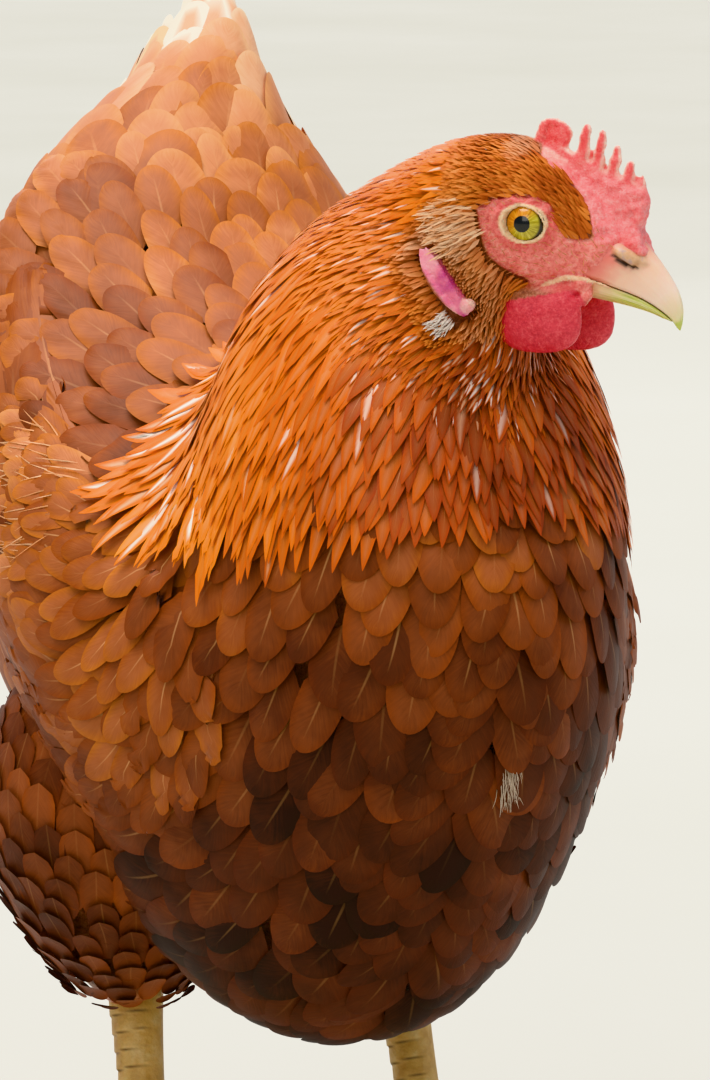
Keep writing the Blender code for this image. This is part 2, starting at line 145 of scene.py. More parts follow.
def slopes(at, angle, shape=form, ends=(0.0, BILL_ROOT)):
    """How a surface's points move with section number and with angle, and the unit normal outwards."""
    step = 1e-3
    ahead = np.minimum(at + step, ends[1])
    behind = np.maximum(at - step, ends[0])
    along = (shape(ahead, angle) - shape(behind, angle)) / (ahead - behind)[..., None]
    around = (shape(at, angle + step) - shape(at, angle - step)) / (2 * step)
    normal = np.cross(along, around)
    normal /= np.linalg.norm(normal, axis=-1, keepdims=True) + 1e-15
    return along, around, normal


# ---------------------------------------------------------------- the skin
# One skin of flesh from the bill's root to the tail's root, with comb, wattles, ear lobes, eyelids and thighs.
# The face, comb and wattles are bare; everywhere else it lies under the coat by the coat's depth.
COMB_CENTRE = np.array((0.0120, 0.0060))
COMB_EDGE = np.array(  # the comb's blade without its fingers, forward and up in the head's frame
    [
        (29.7, 0.4), (27.4, 3.2), (25.6, 5.8), (26.1, 9.6), (25.4, 12.4), (24.0, 14.5), (20.6, 16.0),
        (16.6, 15.7), (12.1, 15.6), (7.8, 17.2), (3.6, 17.6), (-2.4, 18.0), (-6.0, 16.0), (-4.0, 8.0),
        (4.0, 0.0), (16.0, -5.0), (25.0, -4.0),
    ]
) / 1000
COMB_FINGERS = (  # root and tip, forward and up, and half width: the broad rear lobe, then five fingers
    (-0.0022, 0.0120, -0.0016, 0.0239, 0.0047),
    (0.0070, 0.0140, 0.0051, 0.0253, 0.00160),
    (0.0109, 0.0140, 0.0094, 0.0249, 0.00142),
    (0.0151, 0.0130, 0.0138, 0.0226, 0.00142),
    (0.0193, 0.0130, 0.0183, 0.0205, 0.00148),
    (0.0226, 0.0120, 0.0218, 0.0182, 0.00125),
)
# Edges of the feathered strip between the comb's foot above and the bare face below, and the ear's front edge.
COMB_FOOT = np.array(
    [(-4.0, 17.5), (-2.4, 15.6), (1.0, 13.9), (4.8, 12.6), (9.3, 10.3), (11.8, 8.2), (14.4, 5.6), (17.0, 0.6)]
) / 1000
BROW = np.array(
    [
        (-12.0, 0.0), (-9.0, 2.0), (-7.0, 4.3), (-3.3, 6.2), (0.4, 7.1), (4.1, 6.9), (7.2, 5.6), (9.5, 3.2),
        (11.5, -0.4), (17.0, 0.6),
    ]
) / 1000
EAR = np.array(
    [
        (-19.0, 0.3), (-14.3, 3.2), (-12.7, -0.3), (-10.4, -4.8), (-6.6, -7.2), (-3.3, -8.8), (0.0, -10.2),
        (1.0, -12.5),
    ]
) / 1000
EYE_SIDE = 0.0100  # the eyeballs' centres lie this far out from the head's middle
EYE_RADIUS = 0.0068
EYE_AHEAD = 0.0011  # the middle of the opening between the lids; then its half width and its rim
LID_WIDE = 0.00500
LID_HIGH = 0.00425
LID_THICK = 0.00052
LOBE_AT = 13.27  # section number of the ear lobe, and the angles of its ends
LOBE_ANGLES = np.radians((95.0, 133.0))
KNOB_AHEAD = 0.10  # the ear lobe's knob: section numbers before its middle, and angle short of its lower end
KNOB_UP = 0.05
# Middle lines of the mouth's fleshy corner and of the fold below it: forward, up and out to the side.
GAPE = np.array(
    [(8.8, -13.6, 10.6), (11.6, -11.2, 10.7), (14.3, -9.7, 10.2), (19.0, -8.9, 8.8), (24.0, -9.3, 7.2)]
) / 1000
FOLD = np.array(
    [(10.0, -15.0, 9.2), (13.5, -12.6, 9.4), (17.0, -10.9, 8.5), (19.0, -12.2, 7.9), (18.4, -15.0, 8.8)]
) / 1000
WATTLE_SIZE = np.array((0.0105, 0.0036, 0.0090))  # half its length, thickness and height
WATTLE_PLACE = (0.0108, 0.0100, -0.0215)
BODY_VOXEL = 0.0024  # the hidden skin needs little detail
HEAD_VOXEL = 0.00048
SKIN_PARTING = 13.3  # section number where the finer mesh of the head begins, under the hackle
HIP = np.array((0.044, 0.028, 0.188))  # the left leg's joints, before the shift
HOCK = np.array((0.037, 0.047, 0.094))
ANKLE = np.array((0.041, 0.020, 0.013))
THIGH_RADIUS = 0.0285
THIGH_END = 0.0085


def wrap(angle):
    """An angle brought between minus half a turn and half a turn."""
    return (angle + np.pi) % (2 * np.pi) - np.pi


def lattice(cell, seed):
    """A repeatable number in 0..1 for each cell of a lattice of whole numbers."""
    mixed = cell[..., 0] * 127.1 + cell[..., 1] * 311.7 + cell[..., 2] * 74.7 + seed * 53.3
    wave = np.sin(mixed) * 43758.5453
    return wave - np.floor(wave)


def grain(points, size, seed):
    """Smooth noise from -1 to 1 whose blobs are about one size across: a lattice of values, blended."""
    place = np.asarray(points) / size
    cell = np.floor(place)
    t = place - cell
    t = t * t * (3 - 2 * t)
    total = 0.0
    for corner in range(8):
        step = np.array((corner & 1, corner >> 1 & 1, corner >> 2 & 1))
        weight = np.prod(np.where(step == 1, t, 1 - t), axis=-1)
        total = total + weight * lattice(cell + step, seed)
    return total * 2 - 1


def ease(value, start, end):
    """0 before start, 1 after end, and a smooth rise between."""
    t = np.clip((value - start) / (end - start), 0.0, 1.0)
    return t * t * (3 - 2 * t)


def in_head(points):
    """Forward, up and side coordinates of points in the head's own frame."""
    away = points - HEAD_CENTRE - SHIFT
    return away @ FORWARD, away @ UP, away @ LEFT


def circle(count):
    """Angles evenly round a full turn."""
    return np.linspace(0, 2 * np.pi, count, endpoint=False)


def quads(rows, columns):
    """Corner numbers of the faces between rings of points; each ring's last point joins its first."""
    i, k = np.meshgrid(np.arange(rows - 1), np.arange(columns), indexing="ij")
    a = i * columns + k
    b = i * columns + (k + 1) % columns
    return np.stack([a, b, b + columns, a + columns], -1).reshape(-1, 4)


def new_mesh(name, points, faces, uv=None, **marks):
    """A mesh object from arrays: points, faces of one size, a UV per point and named numbers per point."""
    mesh = bpy.data.meshes.new(name)
    points = np.ascontiguousarray(points, np.float32).reshape(-1, 3)
    faces = np.ascontiguousarray(faces, np.int32)
    mesh.vertices.add(len(points))
    mesh.vertices.foreach_set("co", points.ravel())
    mesh.loops.add(faces.size)
    mesh.loops.foreach_set("vertex_index", faces.ravel())
    mesh.polygons.add(len(faces))
    mesh.polygons.foreach_set("loop_start", np.arange(len(faces), dtype=np.int32) * faces.shape[1])
    mesh.update(calc_edges=True)
    if uv is not None:
        layer = mesh.uv_layers.new(name="OFBake")
        layer.data.foreach_set("uv", np.ascontiguousarray(uv, np.float32).reshape(-1, 2)[faces.ravel()].ravel())
    for mark_name, values in marks.items():
        values = np.ascontiguousarray(values, np.float32)
        kind, field = ("FLOAT_VECTOR", "vector") if values.ndim > 1 else ("FLOAT", "value")
        mesh.attributes.new(mark_name, kind, "POINT").data.foreach_set(field, values.ravel())
    mesh.validate()
    mesh.shade_smooth()
    obj = bpy.data.objects.new(name, mesh)
    bpy.context.scene.collection.objects.link(obj)
    return obj


def bare_share(forward, up):
    """1 on the bare face and round the comb's foot, 0 under feathers; places in the head's frame."""
    under_brow = ease(np.interp(forward, *BROW.T) - up, -0.0005, 0.0007)
    before_ear = ease(forward - np.interp(up, *EAR.T), -0.0006, 0.0010)
    over_foot = ease(up - np.interp(forward, *COMB_FOOT.T), -0.0004, 0.0008) * (forward > -0.0042)
    chin = ease(up, -0.0160, -0.0125)
    face = np.maximum(under_brow * before_ear, ease(forward, 0.0160, 0.0175))
    return np.maximum(face * chin, over_foot)


def bare_at(at, angle):
    """The bare share at a place on the form."""
    return bare_share(*in_head(form(at, angle))[:2])


def coat_depth(at, angle):
    """How deep the skin lies under the feather tips: 6 mm, 3 mm more on the trunk, nothing on the bare face."""
    head = ease(at, 13.3, 15.2)
    trunk = ease(at, 12.0, 9.0)
    return (0.0060 + 0.0030 * trunk - 0.0044 * head) * (1 - bare_at(at, angle) * head)


def ring_solid(rings):
    """Points and faces of a closed solid through rings, each end drawn in to a fiftieth of its last ring."""
    ends = [ring.mean(0) + (ring - ring.mean(0)) * 0.02 for ring in (rings[0], rings[-1])]
    rings = np.concatenate([ends[:1], rings, ends[1:]])
    return rings.reshape(-1, 3), quads(rings.shape[0], rings.shape[1])


def tube(path, radii, around, hint=(0.31, 0.17, 0.93)):
    """A closed round limb along a path: rings at right angles to it, with one radius each or one for each place
    round them. The hint, crossed with the path's direction, sets where each ring starts."""
    along = np.gradient(path, axis=0)
    along /= np.linalg.norm(along, axis=1, keepdims=True)
    side = np.cross(along, np.broadcast_to(hint, along.shape))
    side /= np.linalg.norm(side, axis=1, keepdims=True)
    turn = circle(around)[:, None]
    ring = side[:, None] * np.cos(turn) + np.cross(side, along)[:, None] * np.sin(turn)
    return ring_solid(path[:, None] + ring * radii.reshape(len(path), -1, 1))


def body_rings(start, end, count, around):
    """Section numbers and rings of the form between two sections, drawn in by the coat's depth."""
    at = np.linspace(start, end, count)[:, None]
    angle = circle(around)[None]
    normal = slopes(at + 0 * angle, angle + 0 * at)[2]
    return at, form(at, angle) - normal * coat_depth(at, wrap(angle))[..., None]


def comb_solids():
    """The comb: a blade that is a fan round its centre, and on it a flat capsule for each finger and the lobe.
    A finger's half width is w sqrt(1 - t^6) (1.12 - 0.18 t) and the lobe's w sqrt(1 - t^9), both with a slight
    swell; the thickness falls towards the end, and each leans a little to one side."""
    away = COMB_EDGE - COMB_CENTRE
    edge_turn = np.degrees(np.arctan2(away[:, 1], away[:, 0])) % 360.0
    turn = np.linspace(0.0, 360.0, 300, endpoint=False)
    reach = np.interp(turn, edge_turn, np.hypot(*away.T), period=360.0)
    turn = np.radians(turn)
    share = np.array((0.0, 0.3, 0.55, 0.72, 0.85, 0.93, 0.975, 1.0))
    out = np.concatenate([share, share[-2::-1]])
    side = np.concatenate([np.ones(7), [0.0], -np.ones(7)])
    reach = reach[None] * out[:, None]
    bevel = np.sqrt(np.maximum(1 - np.clip((out - 0.90) / 0.10, 0, 1) ** 2, 0))
    forward = COMB_CENTRE[0] + reach * np.cos(turn)
    up = COMB_CENTRE[1] + reach * np.sin(turn)
    thick = 0.0032 - 0.0016 * ease(up, 0.009, 0.017)
    thick = thick + 0.0026 * ease(up, 0.008, 0.0) * (forward > 0.012)
    points = head_place(forward, up, thick * (side * bevel)[:, None])
    solids = [ring_solid(points[1:-1])]
    t = np.linspace(0.0, 0.995, 22)[:, None]
    ring = circle(28)[None]
    for number, (root_f, root_u, tip_f, tip_u, wide) in enumerate(COMB_FINGERS):
        along = np.array((tip_f - root_f, tip_u - root_u))
        across = np.array((along[1], -along[0])) / np.hypot(*along)
        narrow = np.sqrt(1 - t ** (6 if number else 9)) * (1.12 - 0.18 * t if number else 1.0)
        flat = (0.00165 - 0.00075 * t) * narrow
        swell = 1.0 + 0.03 * np.sin(9.0 * t + 2.1 * number)
        forward = root_f + along[0] * t + across[0] * wide * swell * narrow * np.cos(ring)
        up = root_u + along[1] * t + across[1] * wide * swell * narrow * np.cos(ring)
        bow = 0.0003 * np.sin(2.4 * number + 1.0) * t
        solids.append(ring_solid(head_place(forward, up, flat * np.sin(ring) + bow)))
    return solids


def ball_solid(centre, sizes, axes, rows, around, bulge=None):
    """An ellipsoid; bulge(u, v) scales its radius, with u round the first two axes and v from pole to pole."""
    poles = np.linspace(0.02, np.pi - 0.02, rows)
    v, u = np.meshgrid(poles, circle(around), indexing="ij")
    shape = np.stack([np.cos(u) * np.sin(v), np.sin(u) * np.sin(v), np.cos(v)], -1) * sizes
    if bulge is not None:
        shape = shape * bulge(u, v)[..., None]
    return (centre + shape @ np.asarray(axes)).reshape(-1, 3), quads(rows, around)


def from_lid(forward, up):
    """Distance from the eye's middle as a share of the way to the lids' rim, which is wider than high."""
    return np.hypot((forward - EYE_AHEAD) / LID_WIDE, up / LID_HIGH)


def lid_solid(side):
    """The eyelids' rim: a closed ring round the eye, drawn out a little towards the bill."""
    rows, columns = 72, 12  # round the eye and round the rim
    turn = circle(rows)[:, None]
    around = circle(columns)[None]
    stretch = 1.0 + 0.07 * np.maximum(np.cos(turn + 0.1), 0) ** 6
    forward = (LID_WIDE * stretch + LID_THICK * np.cos(around)) * np.cos(turn)
    up = (LID_HIGH + LID_THICK * np.cos(around)) * np.sin(turn)
    radius = np.hypot(LID_WIDE * stretch * np.cos(turn), LID_HIGH * np.sin(turn))
    ball = np.sqrt(EYE_RADIUS**2 - (radius - LID_THICK) ** 2)
    out = EYE_SIDE + ball + LID_THICK * 0.7 * (0.4 + np.sin(around))
    points = head_place(forward + EYE_AHEAD, up, side * out).reshape(-1, 3)
    faces = quads(rows + 1, columns) % (rows * columns)
    return points, faces


def wattle_place(side):
    """The middle of a wattle; the left one hangs a little lower and further forward."""
    ahead, below = (0.0020, 0.0008) if side > 0 else (-0.0010, 0.0)
    return WATTLE_PLACE[0] + ahead, WATTLE_PLACE[2] - below, side * WATTLE_PLACE[1]


def wattle_solid(side):
    """A wattle: a flat rounded lobe that hangs from the corner of the jaw. Seen from the side it is between an
    ellipse and a square: its radius goes by (|x|^2.6 + |z|^2.6)^(-1/2.6)."""
    level = FORWARD * (1, 1, 0)
    level /= np.linalg.norm(level)
    place = head_place(*wattle_place(side))

    def bulge(u, v):
        x, z = np.abs(np.cos(u) * np.sin(v)), np.abs(np.cos(v))
        square = (x**2.6 + z**2.6 + 1e-9) ** (-1 / 2.6) * np.sqrt(x**2 + z**2)
        return square * (1.0 + 0.03 * np.sin(3 * u) * np.sin(v))

    return ball_solid(place, WATTLE_SIZE * (1.02, 1.0, 0.93), (level, LEFT, (0, 0, 1)), 40, 56, bulge)


def lobe_solids(side):
    """An ear lobe: three soft ridges side by side down the rear of the jaw, on a flat pad that joins them, with
    a small wrinkled knob at its lower end."""
    t = np.linspace(0.0, 1.0, 24)
    angle = side * np.linspace(*LOBE_ANGLES, 24)
    swell = np.sin(np.pi * (0.04 + 0.92 * t)) ** 0.6
    solids = []
    for offset, thick in ((-0.095, 0.00100), (-0.01, 0.00075), (0.075, 0.00085)):
        at = LOBE_AT + offset * swell + 0.02 * np.sin(3.0 * t + 30 * offset)
        solids.append(tube(form(at, angle) + slopes(at, angle)[2] * 0.0004, thick * swell, 12))
    middle = side * LOBE_ANGLES.mean()
    normal = slopes(np.array(LOBE_AT), middle)[2]
    ends = form(LOBE_AT + 0 * LOBE_ANGLES, side * LOBE_ANGLES)
    long_axis = (ends[1] - ends[0]) / np.linalg.norm(ends[1] - ends[0])
    normal = normal - long_axis * (normal @ long_axis)
    normal /= np.linalg.norm(normal)
    axes = (np.cross(normal, long_axis), normal, long_axis)
    pad = form(LOBE_AT, middle) - normal * 0.0030
    knob = form(LOBE_AT + KNOB_AHEAD, side * (LOBE_ANGLES[1] - KNOB_UP)) + normal * 0.0002
    solids.append(ball_solid(pad, (0.0033, 0.0032, 0.0094), axes, 24, 24))
    solids.append(ball_solid(knob, (0.0019, 0.0013, 0.0017), axes, 14, 18))
    return solids


def gape_path(side):
    """Points along the fleshy edge of the mouth, from behind its corner to the bill's side."""
    return head_place(*(blend(GAPE, np.linspace(0, len(GAPE) - 1, 30)) * (1, 1, side)).T)


def gape_solid(side):
    """The fleshy corner of the mouth, a low roll along the mouth line."""
    t = np.linspace(0, 1, 30)
    return tube(gape_path(side), 0.00046 * np.sin(np.pi * (0.10 + 0.62 * t)) ** 0.6, 10)


def fold_solid(side):
    """A soft fold under the mouth's corner, from the cheek over the lower jaw's root to the wattle's front."""
    path = blend(FOLD, np.linspace(0, len(FOLD) - 1, 24)) * (1, 1, side)
    return tube(head_place(*path.T), 0.0014 + 0.0005 * np.sin(np.linspace(0, np.pi, 24)), 14)


def thigh_path(side):
    """Centre points and radii of the drumstick out to its feather tips, from hip to hock: a bowed line that is
    thickest near the top."""
    t = np.linspace(0, 1, 24)[:, None]
    mirror = np.array((side, 1.0, 1.0))
    top = HIP * mirror + SHIFT
    hock = (HOCK + (0, 0.001, -0.006)) * mirror + SHIFT
    path = top * (1 - t) + hock * t + np.array((side * 0.006, -0.005, 0.0)) * np.sin(np.pi * t)
    radii = THIGH_RADIUS * np.sin(np.pi * t**0.7) ** 0.8 + THIGH_END * (0.4 + 0.6 * t)
    return path, radii[:, 0]


def melt(name, solids, voxel, rounds):
    """Points and faces of one closed skin round several solids: a voxel remesh, then some smoothing."""
    points, faces, start = [], [], 0
    for some, corners in solids:
        points.append(some)
        faces.append(corners + start)
        start += len(some)
    rough = new_mesh(name, np.concatenate(points), np.concatenate(faces))
    merge = rough.modifiers.new("Melt together", "REMESH")
    merge.mode = "VOXEL"
    merge.voxel_size = voxel
    soften = rough.modifiers.new("Soften", "SMOOTH")
    soften.factor = 0.5
    soften.iterations = rounds
    done = bpy.data.meshes.new_from_object(rough.evaluated_get(bpy.context.evaluated_depsgraph_get()))
    bpy.data.objects.remove(rough)
    found = np.empty(len(done.vertices) * 3, np.float32)
    done.vertices.foreach_get("co", found)
    corners = np.empty(len(done.loops), np.int32)
    done.loops.foreach_get("vertex_index", corners)
    assert len(done.loops) == 4 * len(done.polygons)
    bpy.data.meshes.remove(done)
    return found.reshape(-1, 3).astype(float), corners.reshape(-1, 4)


def both(make, *rest):
    """The left and the right one of a pair."""
    return [make(side, *rest) for side in (1, -1)]


def body_skin():
    """The hidden skin of trunk, tail root and thighs, thinned to a third towards the tail."""
    at, rings = body_rings(1.3, SKIN_PARTING + 0.4, 90, 72)
    middle = rings.mean(1, keepdims=True)
    narrow = 0.30 + 0.70 * ease(at, 0.9, 3.4)[..., None]
    solids = [ring_solid(middle + (rings - middle) * narrow)]
    for path, radii in both(thigh_path):
        solids.append(tube(path, np.maximum(radii - 0.0045, 0.0042), 28))
    return melt("rough_body", solids, BODY_VOXEL, 2)


def head_skin():
    """The head's skin with comb, wattles, ear lobes, eyelids and the corners of the mouth melted on."""
    solids = [ring_solid(body_rings(SKIN_PARTING, BILL_ROOT, 110, 96)[1]), *comb_solids()]
    solids += lobe_solids(1) + lobe_solids(-1)
    solids += both(wattle_solid) + both(lid_solid) + both(gape_solid) + both(fold_solid)
    points, faces = melt("rough_head", solids, HEAD_VOXEL, 2)
    forward, up, side = in_head(points)
    # Inside the ring of the lids the skin dips behind the eyeball.
    inside = ease(from_lid(forward, up), 0.93, 0.86) * (np.abs(side) > 0.006)
    from_eye = np.hypot(forward - EYE_AHEAD, up)
    deep = EYE_SIDE + np.sqrt(np.maximum(EYE_RADIUS**2 - from_eye**2, 0)) - 0.0018
    sunk = np.sign(side) * np.minimum(np.abs(side), deep)
    points = points + LEFT * ((sunk - side) * inside)[:, None]
    return points, faces


def point_normals(points, faces):
    """Unit normals at the points: the sum of the normals of the faces that meet there."""
    corners = points[faces]
    normal = np.cross(corners[:, 2] - corners[:, 0], corners[:, 3] - corners[:, 1])
    total = np.stack([np.bincount(faces.ravel(), np.repeat(normal[:, k], 4), len(points)) for k in range(3)], 1)
    return total / (np.linalg.norm(total, axis=1, keepdims=True) + 1e-15)


def colour(code):
    """A linear colour with alpha from an sRGB hex code."""
    parts = [int(code[k : k + 2], 16) / 255 for k in (1, 3, 5)]
    return (*[p / 12.92 if p <= 0.04045 else ((p + 0.055) / 1.055) ** 2.4 for p in parts], 1.0)


def add(tree, kind, links=(), **settings):
    """Adds a node with its settings; links are (input name or number, socket it comes from or value)."""
    node = tree.nodes.new(kind)
    for setting, value in settings.items():
        setattr(node, setting, value)
    for name, source in links:
        if isinstance(source, bpy.types.NodeSocket):
            tree.links.new(source, node.inputs[name])
        else:
            node.inputs[name].default_value = source
    return node


def new_material(name, **values):
    """A Principled material's node tree and surface, with plain values on the shader's own sockets."""
    material = bpy.data.materials.new(name)
    material.use_nodes = True
    surface = material.node_tree.nodes["Principled BSDF"]
    for socket, value in values.items():
        surface.inputs[socket.replace("_", " ")].default_value = value
    return material, material.node_tree, surface


def ramp(tree, source, *stops):
    """Colours along a number: stops are (place, hex code)."""
    node = add(tree, "ShaderNodeValToRGB", [("Fac", source)])
    while len(node.color_ramp.elements) < len(stops):
        node.color_ramp.elements.new(0.5)
    for element, (place, code) in zip(node.color_ramp.elements, stops):
        element.position = place
        element.color = colour(code)
    return node.outputs["Color"]


def mark(tree, name, kind="Fac"):
    """A named number or vector that the mesh carries at its points."""
    return add(tree, "ShaderNodeAttribute", attribute_name=name).outputs[kind]


def mix(tree, share, first, second, blend_type="MIX"):
    """Two colours mixed by a share."""
    links = [(0, share), (6, first), (7, second)]
    return add(tree, "ShaderNodeMix", links, data_type="RGBA", blend_type=blend_type).outputs[2]


def maths(tree, operation, first, second=0.0, third=0.0, clamp=False):
    """One sum on two or three numbers."""
    links = [(0, first), (1, second), (2, third)]
    return add(tree, "ShaderNodeMath", links, operation=operation, use_clamp=clamp).outputs[0]


def noise(tree, scale, detail, roughness=0.55, place=None):
    """Noise from 0 to 1 over the object's own coordinates, or over a place given."""
    place = place or add(tree, "ShaderNodeTexCoord").outputs["Object"]
    settings = [("Vector", place), ("Scale", scale), ("Detail", detail), ("Roughness", roughness)]
    return add(tree, "ShaderNodeTexNoise", settings).outputs["Fac"]


def bump(tree, surface, height, distance, strength):
    """Turns a height from 0 to 1 into bumps of a real depth in metres."""
    node = add(tree, "ShaderNodeBump", [("Height", height), ("Distance", distance), ("Strength", strength)])
    tree.links.new(node.outputs["Normal"], surface.inputs["Normal"])


def skin_material():
    """Bare skin: coral granular comb and face, velvety crimson wattles, magenta ear lobes, cream eyelids."""
    material, tree, surface = new_material(
        "Bare skin", Subsurface_Weight=0.22, Subsurface_Scale=0.0010, Coat_Weight=0.20, Coat_Roughness=0.32
    )
    surface.inputs["Subsurface Radius"].default_value = (1.0, 0.35, 0.25)
    fine = noise(tree, 2200.0, 3.0, 0.5)
    speckle = noise(tree, 800.0, 3.0, 0.5)
    patch = noise(tree, 150.0, 3.0)
    grit = maths(tree, "ADD", maths(tree, "MULTIPLY", fine, 0.4), maths(tree, "MULTIPLY", speckle, 0.6))
    face = ramp(tree, grit, (0.28, "#D8544E"), (0.50, "#F98A80"), (0.72, "#FFB8A8"))
    buff = ramp(tree, grit, (0.34, "#7E3E28"), (0.50, "#B06A4A"), (0.68, "#D4957A"))
    tint = mix(tree, mark(tree, "feathered"), face, buff)
    tint = mix(tree, maths(tree, "MULTIPLY", mark(tree, "flush"), patch), tint, colour("#D8343A"))
    # The rim's pale colour is painted highlight along the comb's edges, and it also colours the ear lobe's
    # front ridge and knob.
    for name, source, *stops in (
        ("comb", grit, (0.28, "#F06064"), (0.50, "#FF8A8A"), (0.72, "#FFB4B0")),
        ("ripe", grit, (0.28, "#E62A2E"), (0.50, "#FA4A46"), (0.72, "#FF7A70")),
        ("wattle", grit, (0.28, "#C62C3C"), (0.52, "#E24A56"), (0.74, "#F27478")),
        ("lobe", patch, (0.35, "#D0508A"), (0.52, "#F0809C"), (0.70, "#FFB4BC")),
        ("rim", grit, (0.35, "#FFB4A8"), (0.65, "#FFE2D0")),
        ("lid", grit, (0.30, "#E8B48A"), (0.52, "#F6D0A8"), (0.72, "#FFE8C8")),
    ):
        tint = mix(tree, mark(tree, name), tint, ramp(tree, source, *stops))
    tree.links.new(tint, surface.inputs["Base Color"])
    tree.links.new(maths(tree, "MULTIPLY_ADD", patch, 0.25, 0.34), surface.inputs["Roughness"])
    bump(tree, surface, maths(tree, "ADD", grit, fine), 0.00030, 0.8)
    return material


def nearness(points, path, reach):
    """1 at a path of points and 0 beyond a reach from it, worked out in slices to hold little at a time."""
    slice_size = 20000
    near = np.empty(len(points))
    for start in range(0, len(points), slice_size):
        some = points[start : start + slice_size]
        near[start : start + slice_size] = np.sqrt(((some[:, None] - path[None]) ** 2).sum(-1)).min(1)
    return ease(near, reach, reach * 0.75)


def build_skin():
    """Head and body skin in one object, with the fine papillae raised and each part of the face marked."""
    points, faces = head_skin()
    normals = point_normals(points, faces)
    forward, up, side = in_head(points)
    comb = ease(up - np.interp(forward, *COMB_FOOT.T), -0.0006, 0.0006) * (forward > -0.0075)
    # The rim is a pale colour where the comb's surface turns away from the side: painted highlight along the
    # comb's edges. The ear lobe's front ridge and knob are given the same pale colour further down.
    rim = comb * ease(np.abs(normals @ LEFT), 0.94, 0.62) * ease(up, 0.0135, 0.0175)
    lid_place = from_lid(forward, up)
    lid = ease(lid_place, 1.16, 1.10) * (np.abs(side) > 0.0125)
    lobe_angle = np.linspace(*LOBE_ANGLES, 16)
    wattle, lobe, gape = np.zeros(len(points)), np.zeros(len(points)), np.zeros(len(points))
    for hand in (1, -1):
        own = side * hand > 0
        mine = points[own]
        away = (mine - head_place(*wattle_place(hand))) @ np.stack([FORWARD, LEFT, UP], 1) / (WATTLE_SIZE * 1.2)
        wattle[own] = ease(np.linalg.norm(away, axis=1), 1.10, 1.0)
        lobe[own] = nearness(mine, form(LOBE_AT, hand * lobe_angle), 0.0030)
        front = nearness(mine, form(LOBE_AT - 0.105, hand * lobe_angle), 0.0011)
        knob = nearness(mine, form(LOBE_AT + KNOB_AHEAD, hand * (LOBE_ANGLES[1:] - KNOB_UP)), 0.0026)
        rim[own] = np.maximum(rim[own], np.maximum(0.7 * front, 0.6 * knob))
        gape[own] = nearness(mine, gape_path(hand), 0.00072)
    # The wattle's colour ends in a slanting line under the jaw.
    wattle_root = np.interp(forward, (0.0, 0.0075, 0.0147, 0.018), (-0.0205, -0.0165, -0.0128, -0.0115))
    wattle = wattle * (up < wattle_root)
    lid = np.maximum(lid, gape * 0.9)
    bare = bare_share(forward, up)
    smooth = (1 - lid) * (1 - wattle) * (1 - lobe)
    papillae = grain(points, 0.0014, 3) * 0.00022 + grain(points, 0.0008, 4) * 0.00010
    folds = (grain(points * (1.0, 1.0, 1.6), 0.0030, 5) - 0.3) * 0.00052
    wrinkles = np.sin(lid_place * 11.0 + 2.6 * grain(points, 0.0035, 6)) * 0.00022
    near_eye = ease(lid_place, 2.1, 1.3) * bare * ease(forward, 0.004, -0.004)
    thin = ease(up, 0.0155, 0.0125)
    lift = papillae * smooth * (0.3 + (0.6 * comb + 0.6 * bare) * thin) + folds * bare * smooth
    lift = lift + wrinkles * near_eye * smooth + grain(points, 0.0008, 8) * 0.00006 * wattle
    points = points + normals * lift[:, None]
    # The skin is reddest round the eye's corner and where mouth and wattle meet.
    flush = ease(np.hypot(forward - 0.013, up + 0.0125), 0.006, 0.002)
    flush = bare * (0.8 * ease(lid_place, 1.9, 1.2) + flush)
    body_points, body_faces = body_skin()
    extra = np.zeros(len(body_points))
    feathered = np.concatenate([(1 - bare) * (1 - comb), extra + 1.0])
    # The comb is a deeper red in its lobe and along each finger's middle, and down the front over the bill.
    comb_front = ease(np.hypot(forward - 0.024, up - 0.001), 0.0045, 0.0015)
    ripe = 0.62 * comb * (1 - rim) * np.maximum(ease(up, 0.0120, 0.0185), 0.8 * comb_front)
    marks = {"comb": comb, "ripe": ripe, "rim": rim, "wattle": wattle, "lobe": lobe, "lid": lid, "flush": flush}
    marks = {name: np.concatenate([values, extra]) for name, values in marks.items()}
    faces = np.concatenate([faces, body_faces + len(points)])
    skin = new_mesh("skin", np.concatenate([points, body_points]), faces, feathered=feathered, **marks)
    skin.data.materials.append(skin_material())
    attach(skin, "root")
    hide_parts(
        "head", "neck", "trunk", "tail", "thigh_L", "thigh_R", "wing_L", "wing_R", "comb",
        "wattle_L", "wattle_R", "earlobe_L", "earlobe_R",
    )


build_skin()


# ---------------------------------------------------------------- the eyes
# Each eye is a glossy ball with a clear bulge over the iris: black pupil, an orange and yellow-green iris with
# fine rays, and a dark line at its rim. It sits in the socket as deep as the bird's own.
PUPIL_RADIUS = 0.0020
IRIS_RADIUS = 0.0044
CORNEA_RISE = 0.0004
GAZE = -0.0001  # the iris sits this far in front of the ball's middle


